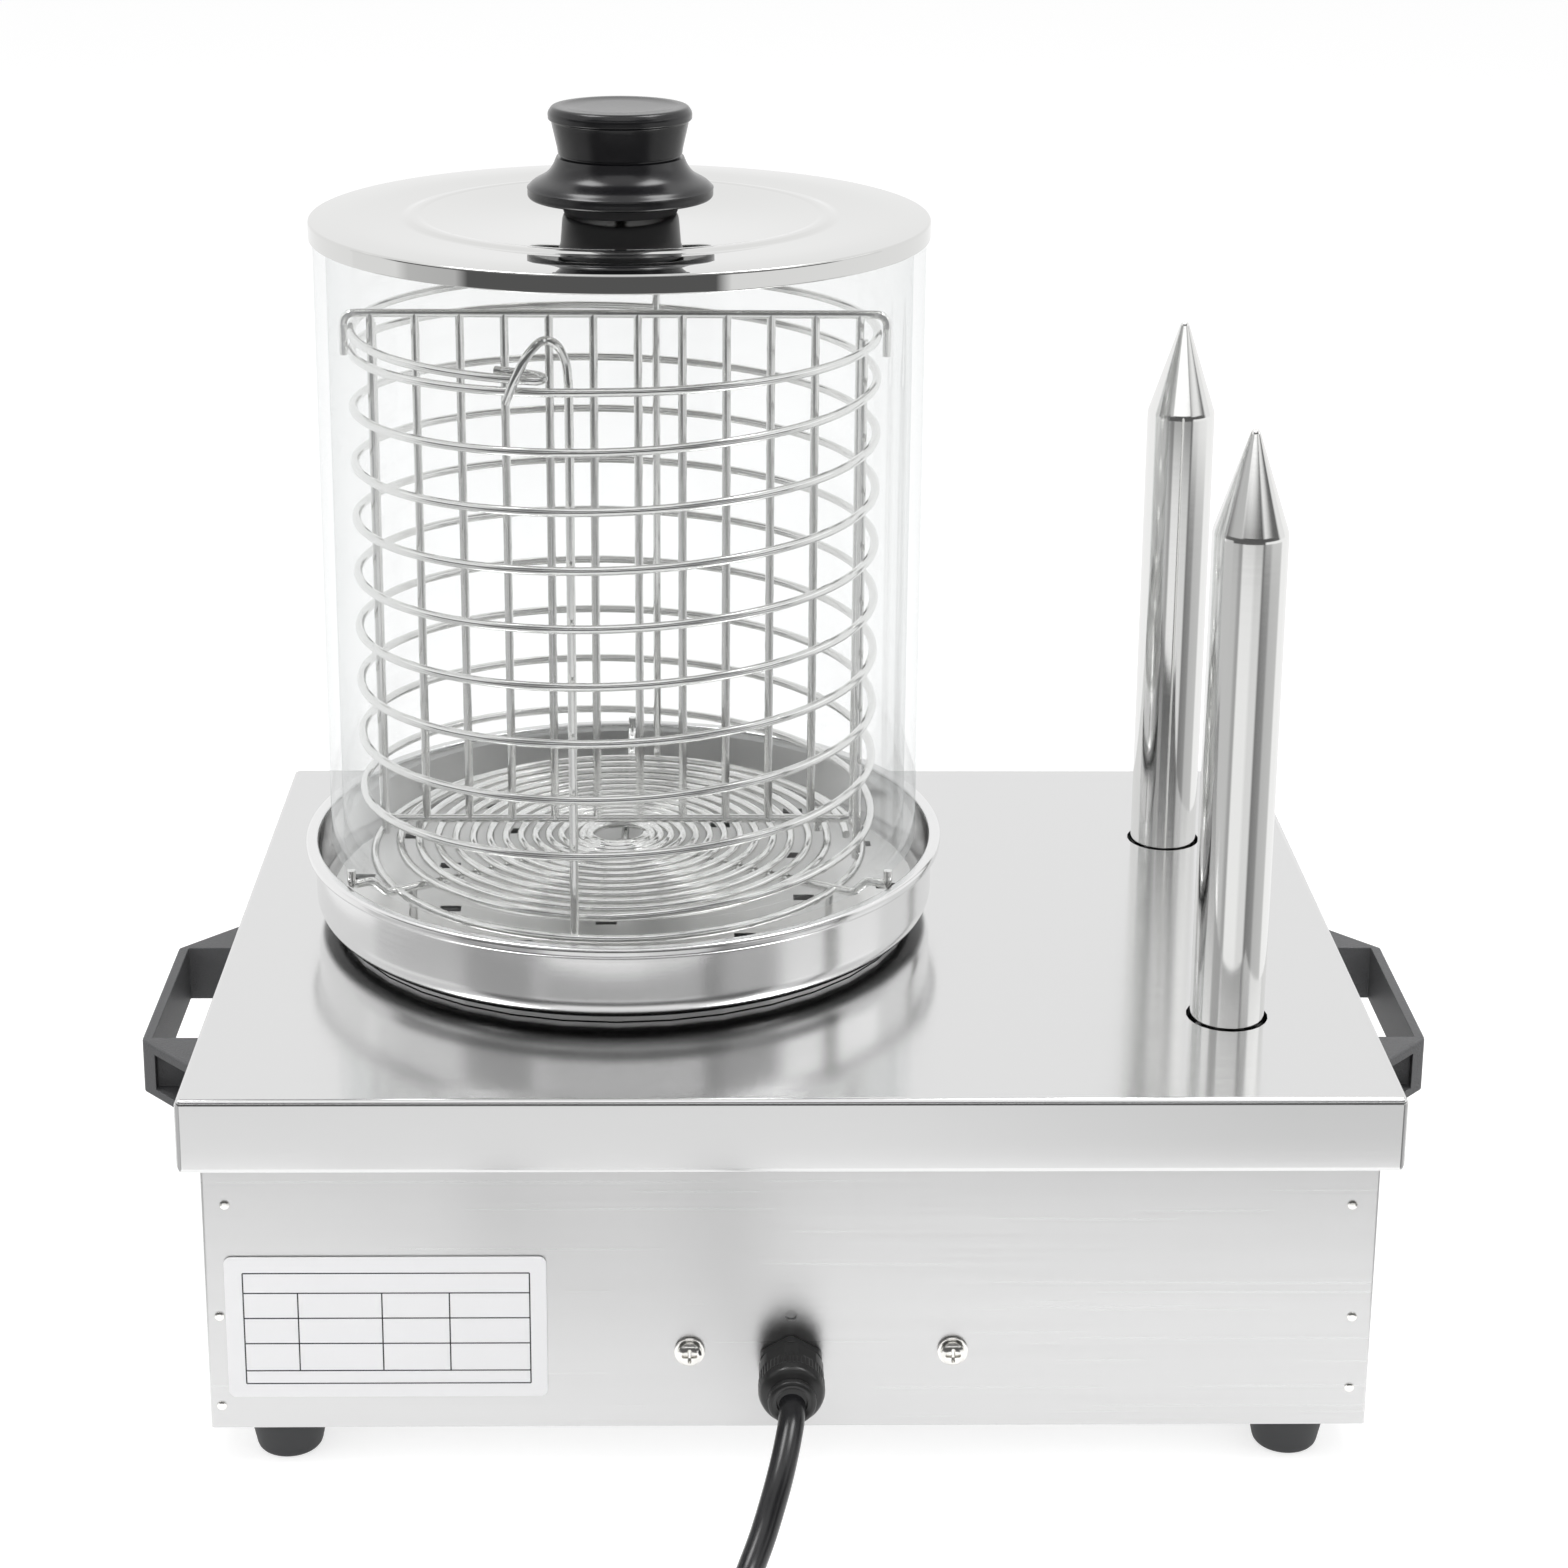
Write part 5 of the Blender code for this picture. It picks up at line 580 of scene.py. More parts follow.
def boot_ribs(angles, heights):
    """Shallow rings round the boot: 1 + 0.05 cos(1500 z) between its two ends."""
    on_boot = (heights > BOOT_FROM) & (heights < BOOT_TO)
    return 1 + np.where(on_boot, 0.05 * np.cos(heights * 1500), 0) + angles * 0


boot_heights = np.linspace(BOOT_FROM + 0.0001, BOOT_TO - 0.0001, 60)
boot_radii = np.interp(boot_heights, PLUG_PROFILE[:, 1], PLUG_PROFILE[:, 0])
first_part = PLUG_PROFILE[: int(np.argmax(PLUG_PROFILE[:, 1] > BOOT_FROM))]
last_part = PLUG_PROFILE[int(np.argmax(PLUG_PROFILE[:, 1] >= BOOT_TO)) :]
ribbed = np.concatenate([first_part, np.stack([boot_radii, boot_heights], 1), last_part])
PLUG_LOOK = (gland_plastic, "machine", "mains_plug", "cord_rubber")
plug = turned("plug", ribbed, boot_tip, *PLUG_LOOK, 64, axes=TO_LEFT, wave=boot_ribs)
PIN_PROFILE = soften([(0, 0), (0.0024, 0), (0.0024, 0.019), (0.0013, 0.0197), (0, 0.0197)], 0.0004)
pins = []
for pin_side in (-1, 1):
    pin_root = boot_tip + (-0.0655, pin_side * 0.0095, 0)
    pins.append(lathe(PIN_PROFILE, pin_root, 32, axes=TO_LEFT))
plug_pins = piece("plug_pins", pins, screw_steel)
for part in (cord, plug, plug_pins):
    part.visible_glossy = False

# %% [markdown]
# ## Heated spikes
# Each spike is a polished tube with a blunt cone tip. A cylinder and a cone would show a seam where
# they meet, so one profile turned about its axis gives both. The slight rounding at the shoulder
# catches the light as the turned edge does.

# %% Spikes
SPIKE_X = 0.1382
SPIKE_RADIUS = 0.01165
SPIKE_FOOT, SPIKE_SHOULDER, SPIKE_TIP = 0.1044, 0.2858, 0.3177
SPIKE_CORNERS = [(0, SPIKE_FOOT), (SPIKE_RADIUS, SPIKE_FOOT), (SPIKE_RADIUS, SPIKE_SHOULDER)]
SPIKE_CORNERS += [(0.0015, 0.3168), (0.0008, SPIKE_TIP), (0, SPIKE_TIP)]
SPIKE_PROFILE = soften(SPIKE_CORNERS, 0.0008, 4)
for spike, spike_y in (("rear_spike", -0.082), ("front_spike", 0.071)):
    spike_look = (spike_steel, "machine", spike, "polished_steel")
    turned(spike + "_tube", SPIKE_PROFILE, (SPIKE_X, spike_y, 0), *spike_look)

# %% [markdown]
# ## Tray
# The tray is spun from one sheet and its rim is rolled outwards. The profile is a closed loop: the
# outer wall with its round bottom corner, the rim, and the inner wall a sheet's thickness away. Its
# outer underside is darkened as painted shade, which shows as a dark band in the cover's mirror.

# %% Tray
AXIS = (-0.0544, 0.0096)
AXIS_FOOT = (*AXIS, 0)
TRAY_RADIUS = 0.1040
TRAY_TOP = 0.1559
TRAY_BOTTOM = 0.1292
TRAY_SHEET = 0.001
TRAY_INNER = TRAY_RADIUS - TRAY_SHEET
TRAY_BEND = 0.008
TRAY_INNER_BEND = 0.0056
RIM_RADIUS = 0.1071
WALL_FROM = TRAY_BOTTOM + 0.010
# Height up to which the tray's outer underside gets painted shade.
PAINTED_SHADE_TOP = 0.1328


def quarter(wall_radius, floor, bend, steps=13):
    """A quarter circle from the floor up to the wall, with one flat point before and after it."""
    angles = np.linspace(0, math.pi / 2, steps)
    reach = wall_radius - bend + bend * np.sin(angles)
    rise = floor + bend - bend * np.cos(angles)
    before = (wall_radius - bend * 1.1, floor)
    after = (wall_radius, floor + bend * 1.1)
    return np.array([before, *zip(reach, rise), after])


tray_rim = [
    (TRAY_RADIUS, WALL_FROM),
    (TRAY_RADIUS, TRAY_TOP - 0.0036),
    (RIM_RADIUS, TRAY_TOP - 0.0034),
    (RIM_RADIUS, TRAY_TOP),
    (TRAY_INNER, TRAY_TOP),
    (TRAY_INNER, WALL_FROM),
]
tray_loop = np.concatenate(
    [
        [(0.0005, TRAY_BOTTOM)],
        quarter(TRAY_RADIUS, TRAY_BOTTOM, TRAY_BEND),
        soften(tray_rim, 0.0021, 7),
        quarter(TRAY_INNER, TRAY_BOTTOM + TRAY_SHEET, TRAY_INNER_BEND)[::-1],
        [(0.0005, TRAY_BOTTOM + TRAY_SHEET)],
    ]
)
TRAY_LOOK = (tray_steel, "tray", "tray", "tray_steel")
tray_piece = turned("tray_spun", tray_loop, AXIS_FOOT, *TRAY_LOOK, 256, ring=True)


def paint_underside_shade(mesh, bend, top):
    """Sets painted shade = (top - z) / 0.8 mm, kept in 0 to 1, on the outer sheet's points only: the
    underside's painted shade.
    """
    points = np.array([vertex.co[:] for vertex in mesh.vertices])
    beyond = np.linalg.norm(points[:, :2] - np.array(AXIS), axis=1) - (TRAY_RADIUS - bend)
    below = TRAY_BOTTOM + bend - points[:, 2]
    outside = np.hypot(np.maximum(beyond, 0), below) > bend * 0.975
    painted_shade = np.clip((top - points[:, 2]) / 0.0008, 0, 1) * outside
    mesh.attributes.new("painted_shade", "FLOAT", "POINT").data.foreach_set("value", painted_shade)
    print("dull points", int((painted_shade > 0).sum()))


# Painted shade: the tray's outer underside is marked here to be coloured dark.
paint_underside_shade(tray_piece.data, TRAY_BEND, PAINTED_SHADE_TOP)

# %% [markdown]
# ## Wire basket
# The wall is one wire wound in a falling spiral with its first end folded back inwards, and the floor
# is one wire wound flat. Four rods, three bars and a ring are welded to them. Curve objects with a
# bevel would do, but a circle carried along a worked-out path gives closed ends and even faces. Welded
# wires run into each other a little, as the real welds do.

# %% Basket wall
WIRE = 0.0014
BASKET = (AXIS[0] - 0.0019, AXIS[1])
COIL_RADIUS = 0.0852
COIL_START = math.radians(255.7)
COIL_TOP = 0.3296
TOP_TURN_DROP = 0.0028
PITCH_PER_TURN = 0.0186
LAST_DROP = 0.0205
first_sweep = COIL_START + math.pi / 2
full_sweep = first_sweep + math.tau * 9
swept = np.linspace(0, full_sweep, 900)
turns_down = np.clip((swept - first_sweep) / math.tau, 0, None)
wall_height = (
    COIL_TOP
    - TOP_TURN_DROP * np.clip(swept / first_sweep, 0, 1)
    - PITCH_PER_TURN * np.minimum(turns_down, 8)
    - LAST_DROP * np.clip(turns_down - 8, 0, None)
)
basket_wall = polar(COIL_RADIUS, COIL_START - swept, wall_height, BASKET)
back_angle = np.radians([245.5, 248, 251, 254, 255.9, 256.8, 256.6])
back_radius = np.array([0.0818, 0.0818, 0.0818, 0.0819, 0.0824, 0.0835, 0.0847])
back_height = COIL_TOP + np.array([0.0014, 0.0014, 0.0013, 0.0011, 0.0008, 0.0005, 0.0002])
folded_end = polar(back_radius, back_angle, back_height, BASKET)
basket_wall = np.concatenate([smooth(folded_end, 5)[:-1], basket_wall])


def welded(name, wires, body, node):
    """Welded wires as one piece, with the finish that the basket and the divider share."""
    return piece(name, wires, wire_steel, body, (node,), "polished_wire")


welded("basket_wall_wire", [wire(basket_wall, WIRE)], "basket", "basket_coil")

# %% Basket floor
BAR_Z = 0.1490
FLOOR_Z = BAR_Z + WIRE * 2 + 0.0003
FLOOR_INNER = 0.0090
FLOOR_OUTER = 0.07725
FLOOR_TURNS = 14
FLOOR_GROWTH = 1.35
floor_turned = np.linspace(0, 1, 900)
floor_radius = FLOOR_INNER + (FLOOR_OUTER - FLOOR_INNER) * floor_turned**FLOOR_GROWTH
floor_path = polar(floor_radius, -floor_turned * math.tau * FLOOR_TURNS, FLOOR_Z, BASKET)
welded("basket_floor_wire", [wire(floor_path, WIRE)], "basket", "basket_floor")

# %% Basket frame
ROD_RADIUS = 0.08105
RING_RADIUS = 0.08245
HOOK_RADIUS = 0.0883
ring_angles = np.arange(144) * math.tau / 144
ROD_TOP = 0.327
HOOKED_ROD = 261.8
hook_reach = ROD_RADIUS + np.array([0, 0, 0.0016, 0.0038, 0.00625, 0.00725, 0.00725])
hook_lean = np.radians([0, 0.6, 2.4, 5.0, 7.6, 10, 12])
hook_height = np.array([ROD_TOP, 0.335, 0.3406, 0.3418, 0.3375, 0.3300, 0.3228])
frame_wires = [wire(polar(RING_RADIUS, ring_angles, BAR_Z - 0.0002, BASKET), WIRE, closed=True)]
for rod_turn in (81.8, 171.8, HOOKED_ROD, 351.8):
    rod_angle = np.radians(rod_turn)
    rod_path = polar(ROD_RADIUS, rod_angle, np.array([BAR_Z - 0.0007, ROD_TOP]), BASKET)
    if rod_turn == HOOKED_ROD:
        hook = polar(hook_reach, rod_angle - hook_lean, hook_height, BASKET)
        rod_path = [rod_path[0], *smooth(hook, 6)]
    reference = (math.cos(rod_angle), math.sin(rod_angle), 0)
    frame_wires.append(wire(rod_path, WIRE, 12, reference))
bar_reach = np.array([0.0010, 0.0880, 0.0930, 0.10045, 0.10045])
bar_height = np.array([BAR_Z, BAR_Z, BAR_Z + 0.0052, BAR_Z + 0.0052, 0.1592])
for bar_angle in np.radians([90, 210, 330]):
    bar_path = soften(polar(bar_reach, bar_angle, bar_height, AXIS), 0.0016, 5)
    reference = (-math.sin(bar_angle), math.cos(bar_angle), 0)
    frame_wires.append(wire(bar_path, WIRE, 12, reference))
    leg = polar(0.079, bar_angle, np.array([0.1353, BAR_Z]), AXIS)
    frame_wires.append(wire(leg, WIRE, 12, reference))
boss = soften(band(0, 0.0034, 0.1463, 0.1497), 0.0005)
frame_wires.append(lathe(boss, AXIS_FOOT, 48))
welded("basket_frame_wires", frame_wires, "basket", "basket_frame")

# %% [markdown]
# ## Divider
# A wire grid splits the basket in two halves. Its top wire hooks over the basket's first turn. It is
# flat, so its wires are drawn as plain pairs of x and z in its own plane.

# %% Divider
DIVIDER_TOP = 0.3327
DIVIDER_BOTTOM = 0.158
BAR_PITCH = 0.01445
HOOK_LOW = DIVIDER_TOP - 0.0138
outer_bar = BAR_PITCH * 5.5
ACROSS_Y = (0, 1, 0)


def in_divider(points):
    """Points given as (x, z) in the divider's own plane."""
    return np.array([(BASKET[0] + x, BASKET[1], z) for x, z in points])


top_wire = (HOOK_RADIUS, HOOK_LOW, DIVIDER_TOP)
outer_wire = (outer_bar, DIVIDER_TOP, DIVIDER_BOTTOM)
divider_wires = []
for half, end_z, across_z in (top_wire, outer_wire):
    bent = in_divider([(-half, end_z), (-half, across_z), (half, across_z), (half, end_z)])
    divider_wires.append(wire(soften(bent, 0.004, 8), WIRE, 12, ACROSS_Y))
for bar in range(1, 11):
    bar_x = bar * BAR_PITCH - outer_bar
    ends = in_divider([(bar_x, DIVIDER_BOTTOM), (bar_x, DIVIDER_TOP)])
    divider_wires.append(wire(ends, WIRE, 12, ACROSS_Y))
for leg_x in (-0.0675, 0.0675):
    ends = in_divider([(leg_x, FLOOR_Z + WIRE + 0.0003), (leg_x, DIVIDER_BOTTOM)])
    divider_wires.append(wire(ends, WIRE, 12, ACROSS_Y))
welded("divider_wires", divider_wires, "divider", "divider")

# %% [markdown]
# ## Glass cylinder
# A plain tube of glass with ground ends. Its wall is thin, so it is hardly seen but for its edges. A
# single skin with a thickness would do for the eye, but a closed wall also gives the ends their shine.

# %% Glass
GLASS_OUTER = 0.0985
GLASS_INNER = 0.0945
GLASS_LOW = 0.1559
GLASS_TOP = 0.3646
glass_loop = band(GLASS_INNER, GLASS_OUTER, GLASS_LOW, GLASS_TOP)
glass_profile = soften(glass_loop, 0.0006, 4, closed=True)
GLASS_LOOK = (clear_glass, "glass", "glass_cylinder", "clear_glass")
turned("glass_tube", glass_profile, AXIS_FOOT, *GLASS_LOOK, 256, ring=True)

# %% [markdown]
# ## Lid and its knob
# The lid is a mirror polished disc with an embossed ring and a short rim. Its sheet is pressed a hair
# hollow, which shows only in reflections, so its normals lean inwards. The knob is moulded in two
# parts: a flared skirt and a slightly dished cap, with a fine seam between them.

# %% Lid
LID_TOP = 0.366
LID_UNDER = 0.3649
LID_SKIRT_LOW = 0.35945
LID_BORE = 0.0023
RING = 0.066
LID_HOLLOW = [(0.018, 0.050), (0.022, 0.072), (0.055, 0.072), (0.066, 0.055), (0.080, 0.050)]
LID_HOLLOW += [(0.085, 0.030), (0.090, -0.01), (0.098, -0.06)]
OUTER_LEVEL = LID_TOP - 0.0006
outer_disc = [(reach, OUTER_LEVEL) for reach in np.arange(0.0975, RING + 0.005, -0.0025)]
inner_disc = [(reach, LID_TOP) for reach in np.arange(RING - 0.003, 0.016, -0.004)]
lid_loop = [
    (LID_BORE, LID_UNDER),
    (0.0988, LID_UNDER),
    (0.0988, LID_SKIRT_LOW),
    (0.0998, LID_SKIRT_LOW),
    (0.0998, OUTER_LEVEL),
    *outer_disc,
    (RING + 0.0042, OUTER_LEVEL),
    (RING + 0.0010, LID_TOP + 0.0001),
    (RING - 0.0006, LID_TOP + 0.0002),
    (RING - 0.0024, LID_TOP),
    *inner_disc,
    (LID_BORE, LID_TOP),
]
lid_profile = soften(lid_loop, 0.0012, 6, closed=True)
LID_LOOK = (lid_steel, "lid", "lid", "polished_steel")
lid_disc = turned("lid_disc", lid_profile, AXIS_FOOT, *LID_LOOK, 256, ring=True)


def lean_normals(mesh, slopes):
    """Leans each upward normal towards the axis: N - s(r) R, with s read from pairs of radius and s."""
    points = np.array([mesh.vertices[loop.vertex_index].co[:] for loop in mesh.loops])
    normals = np.array([corner.vector[:] for corner in mesh.corner_normals])
    outward = points[:, :2] - np.array(AXIS)
    radius = np.linalg.norm(outward, axis=1)
    slope = np.interp(radius, *zip(*slopes)) * (normals[:, 2] > 0.98)
    normals[:, :2] -= outward / np.maximum(radius, 1e-9)[:, None] * slope[:, None]
    normals /= np.linalg.norm(normals, axis=1)[:, None]
    mesh.normals_split_custom_set(normals.tolist())


lean_normals(lid_disc.data, LID_HOLLOW)
print("lid normals lean up to", max(slope for _, slope in LID_HOLLOW))

# %% Lid knob and collar
COLLAR_LOW, COLLAR_TOP = 0.3663, 0.3717
collar_corners = [(0, COLLAR_LOW), (0.0182, COLLAR_LOW), (0.0202, COLLAR_TOP), (0, COLLAR_TOP)]
collar_profile = soften(collar_corners, 0.0004)
flare = [(0.0297, 0.3746), (0.0280, 0.3762), (0.0241, 0.3785), (0.0219, 0.3810), (0.0204, 0.3842)]
skirt_curve = smooth(flare, 8)
seam = [(0.0196, 0.38435), (0.0193, 0.3846), (0.0193, 0.3850), (0.0198, 0.3852)]
cap_side = [(0.0199, 0.3853), (0.0202, 0.3873), (0.0217, 0.3940), (0.0220, 0.3955)]
rim_corners = [(0.0221, 0.3957), (0.0230, 0.3963), (0.0231, 0.3984), (0.0218, 0.4004)]
cap_rim = soften([*rim_corners, (0.0185, 0.4005)], 0.0013, 8)
cap_dish = [(0.0180, 0.40035), (0.0120, 0.40015), (0, 0.4001)]
under_skirt = [(0, 0.3720), (0.0272, 0.3720), (0.0280, 0.3710), (0.0292, 0.3710)]
skirt_low = soften([*under_skirt, (0.0298, 0.3718), (0.0298, 0.3739)], 0.0004, 5)
skirt_lip = [(0.02995, 0.37425), (0.0299, 0.37445)]
knob_profile = np.concatenate([skirt_low, skirt_lip, skirt_curve, seam, cap_side, cap_rim, cap_dish])
KNOB_LOOK = (knob_plastic, "lid", "lid_knob", "knob_plastic")
# The collar's lighter plastic is painted light from the lid below; its own plastic is the knob's black.
COLLAR_LOOK = (collar_black_with_painted_light, "lid", "lid_collar", "knob_plastic")
turned("lid_knob_turned", knob_profile, AXIS_FOOT, *KNOB_LOOK)
turned("lid_collar_turned", collar_profile, AXIS_FOOT, *COLLAR_LOOK)

# %% [markdown]
# ## Feet
# Rubber feet taper to the table and are round at the edge. A cone would have sharp edges, so each foot
# is a softened profile turned about its own axis. A barbed neck holds it in the bottom plate.

# %% Feet
FOOT_X, FOOT_Y = 0.156, 0.122
foot_corners = [(0, 0), (0.0098, 0), (0.0126, 0.0137), (0.0037, 0.0137)]
neck_corners = [(0.0037, 0.0166), (0.0055, 0.0166), (0.0037, 0.0196), (0, 0.0196)]
FOOT_PROFILE = soften(foot_corners + neck_corners, 0.0022)
for end, foot_y in (("rear", -FOOT_Y), ("front", FOOT_Y)):
    for side, foot_x in (("left", -FOOT_X), ("right", FOOT_X)):
        foot = side + "_" + end + "_foot"
        foot_look = (foot_rubber, "machine", foot, "foot_rubber")
        turned(foot + "_turned", FOOT_PROFILE, (foot_x, foot_y, 0), *foot_look, 64)

# %% [markdown]
# ## Rear panel
# The gland holds the cord: a hexagonal base, a domed nut with grip ribs and a rounded nose. Two cross
# slotted screws sit beside it, and a blank data plate with ruled lines is stuck on the left.

# %% Gland
REAR_WALL = -0.1365


def six_flats(angles, heights):
    """A hexagon's outline 1 / cos(a), with a from each flat's middle, held to 1.1 at the corners."""
    from_middle = (angles + math.radians(30)) % math.radians(60) - math.radians(30)
    return np.minimum(1 / np.cos(from_middle), 1.10) + heights * 0


def nut_outline(angles, heights):
    """Six flats on the nut's lower part, then 0.988 + 0.012 cos(48 a) for the ribs above them."""
    to_ribs = np.clip((heights - 0.0098) / 0.0012, 0, 1)
    on_ribs = to_ribs * np.clip((0.0152 - heights) / 0.0006, 0, 1)
    on_hexagon = np.clip((heights - 0.0043) / 0.0003, 0, 1) * (1 - to_ribs)
    ribs = 1 + on_ribs * (0.012 * np.cos(angles * 48) - 0.012)
    return ribs + on_hexagon * (np.minimum(six_flats(angles, heights), 1.045) - 1)


nut_heights = np.linspace(0.0046, 0.0150, 30)
nut_radii = 0.0098 + 0.00035 * np.clip((nut_heights - 0.0098) / 0.0012, 0, 1)
nut_side = np.stack([nut_radii, nut_heights], 1)
nut_dome = [(0.01015, 0.0152), (0.0094, 0.0180), (0.0068, 0.0192), (0.0064, 0.0193)]
nut_nose = [(0.0064, 0.0194), (0.0074, 0.0202), (0.0073, 0.0222), (0.0061, 0.0228), (0.0048, 0.0220)]
nut_bends = [soften(nut_dome, 0.0018), soften(nut_nose, 0.0011, 7)]
nut_ends = [(0, 0.0043), (0.0094, 0.0043)], [(0.0046, 0.0206), (0, 0.0205)]
nut_profile = np.concatenate([nut_ends[0], nut_side, *nut_bends, nut_ends[1]])
gland_place = (0, REAR_WALL, GLAND_Z)
NUT_LOOK = (gland_plastic, "machine", "gland_nut", "gland_plastic")
turned("gland_nut_ribbed", nut_profile, gland_place, *NUT_LOOK, 384, axes=TO_REAR, wave=nut_outline)
flange_corners = [(0, 0.0003), (0.00945, 0.0003), (0.00945, 0.0040), (0.0070, 0.0042), (0, 0.0042)]
flange_profile = soften(flange_corners, 0.0005)
BASE_LOOK = (gland_plastic, "machine", "gland_body", "gland_plastic")
turned("gland_base_hex", flange_profile, gland_place, *BASE_LOOK, 180, axes=TO_REAR, wave=six_flats)


# %% Rear screws and washers
def cross_slotted_head(place, radius, height, sides=96, rings=28):
    """Height h(r) = H (1 - 0.45 (r/R)^3), less a tapered cross where |x| or |y| is small."""
    shares = np.linspace(0.02, 1, rings)
    angles = np.arange(sides) * math.tau / sides
    r = shares[:, None] * radius
    x, y = r * np.cos(angles), r * np.sin(angles)
    dome = height * (1 - 0.45 * shares[:, None] ** 3) + x * 0
    half_slot = radius * 0.13
    half_length = radius * 0.62
    near = np.clip((half_slot - np.minimum(np.abs(x), np.abs(y))) / (half_slot * 0.35), 0, 1)
    within = np.clip((half_length - r) / (radius * 0.1), 0, 1)
    recess = near * within * height * 0.62
    top = np.stack([x, y, dome - recess], axis=-1)[::-1]
    skirt = polar(radius, angles, 0, (0, 0))[None]
    place, axes = np.array(place), np.array(TO_REAR, dtype=float)
    grid = place + np.concatenate([skirt, top]) @ axes
    middle = place + axes[2] * height * 0.38
    return surface(grid, False, (place, middle))


SCREW_Z = 0.0401
washer_profile = soften(band(0.0023, 0.0047, 0.0003, 0.0012), 0.0003, 4, closed=True)
for screw_name, screw_x in (("left_rear", -0.031), ("right_rear", 0.0496)):
    seat = (screw_x, REAR_WALL - 0.0015, SCREW_Z)
    shank = lathe(band(0, 0.002, -0.009, 0), seat, 24, axes=TO_REAR)
    screw_parts = [cross_slotted_head(seat, 0.0037, 0.0024), shank]
    screw_look = (screw_steel, "machine", (screw_name + "_screw",), "screw_steel")
    piece(screw_name + "_screw_head", screw_parts, *screw_look)
    washer_look = (screw_steel, "machine", screw_name + "_washer", "screw_steel")
    at_wall = (screw_x, REAR_WALL, SCREW_Z)
    ring_name = screw_name + "_washer_ring"
    turned(ring_name, washer_profile, at_wall, *washer_look, 64, ring=True, axes=TO_REAR)

# %% Rivets near the rear panel's corners
rivet_corners = [(0, 0), (0.00155, 0), (0.00150, 0.00025), (0.0008, 0.00045), (0, 0.0005)]
rivet_profile = soften(rivet_corners, 0.0002, 4)
RIVETS = [(-0.1710, 0.0898), (-0.1740, 0.0523), (-0.1745, 0.0216)]
RIVETS += [(0.1700, 0.0891), (0.1720, 0.0511), (0.1725, 0.0267)]
rivets = [lathe(rivet_profile, (x, REAR_WALL, z), 32, axes=TO_REAR) for x, z in RIVETS]
piece("rear_rivets", rivets, screw_steel)


# %% Data plate, blank with ruled lines
def bar_box(low, high):
    """The eight corners of a box as two rows of four, closed at both ends."""
    (x0, y0, z0), (x1, y1, z1) = low, high
    around = [(x0, z0), (x1, z0), (x1, z1), (x0, z1)]
    back = [(x, y1, z) for x, z in around]
    front = [(x, y0, z) for x, z in around]
    grid = np.array([back, front], dtype=float)
    return surface(grid, False, (grid[0].mean(axis=0), grid[1].mean(axis=0)))


def rounded_plate(centre, size, corner, low_y, high_y, steps=8):
    """A rectangle whose corners are quarter circles, as one loop pushed along Y."""
    half_x, half_z = size[0] / 2 - corner, size[1] / 2 - corner
    loop = []
    for turns, (sign_x, sign_z) in enumerate(((1, 1), (-1, 1), (-1, -1), (1, -1))):
        angles = np.linspace(0, math.pi / 2, steps) + turns * math.pi / 2
        x = centre[0] + sign_x * half_x + corner * np.cos(angles)
        z = centre[1] + sign_z * half_z + corner * np.sin(angles)
        loop.append(np.stack([x, z], 1))
    loop = np.concatenate(loop)
    rows = [np.stack([loop[:, 0], loop[:, 0] * 0 + y, loop[:, 1]], 1) for y in (high_y, low_y)]
    grid = np.array(rows)
    return surface(grid, False, (grid[0].mean(axis=0), grid[1].mean(axis=0)))


PLATE_BACK = REAR_WALL - 0.0003
PLATE_FACE = PLATE_BACK - 0.0004
piece(
    "data_plate",
    [rounded_plate((-0.12325, 0.04875), (0.0975, 0.0475), 0.0022, PLATE_FACE, PLATE_BACK)],
    label_white,
    instead_of=("rating_plate",),
    slot="label_foil",
)
RULE = 0.0004
GRID_LEFT, GRID_RIGHT = -0.1665, -0.0796
GRID_LOW, GRID_HIGH = 0.0296, 0.0671
CELLS_LOW, CELLS_HIGH = 0.0340, 0.0604


def ruled(x0, x1, z0, z1):
    """One printed line: a flat box that stands 0.03 mm out of the plate's face."""
    return bar_box((x0, PLATE_FACE - 0.00003, z0), (x1, PLATE_FACE + 0.0001, z1))


rule_heights = (GRID_LOW, CELLS_LOW, 0.0433, 0.0519, CELLS_HIGH, GRID_HIGH)
uprights = [(x, GRID_LOW, GRID_HIGH) for x in (GRID_LEFT, GRID_RIGHT)]
uprights += [(x, CELLS_LOW, CELLS_HIGH) for x in (-0.1500, -0.1245, -0.1040)]
rules = [ruled(GRID_LEFT, GRID_RIGHT, z - RULE / 2, z + RULE / 2) for z in rule_heights]
rules += [ruled(x - RULE / 2, x + RULE / 2, low, high) for x, low, high in uprights]
piece("data_plate_rules", rules, ink)

# %% [markdown]
# ## Front panel
# The operator's side has the thermostat's dial and knob, two rocker switches and two lamps. The dial
# is printed with plain numbers clockwise from 0 at the top, where the knob's pointer rests. Text
# objects would do, but a few strokes of thin wire per digit need no font.

# %% Dial, knob and lamps
FRONT_WALL = 0.1365
DIAL_Z = 0.058
DIAL_CENTRE = (AXIS[0], FRONT_WALL, DIAL_Z)
dial_profile = soften(band(0, 0.032, 0.0003, 0.0011), 0.0003)
DIAL_LOOK = (dial_plastic, "machine", "dial_plate", "dial_plastic")
turned("dial_disc", dial_profile, DIAL_CENTRE, *DIAL_LOOK, axes=TO_FRONT)


def knob_flutes(angles, heights):
    """Twelve finger grooves round the grip: 1 - 0.05 cos(6 a)^8 above the skirt."""
    on_grip = np.clip((heights - 0.0068) / 0.002, 0, 1) * np.clip((0.0212 - heights) / 0.002, 0, 1)
    return 1 - 0.05 * on_grip * np.cos(angles * 6) ** 8


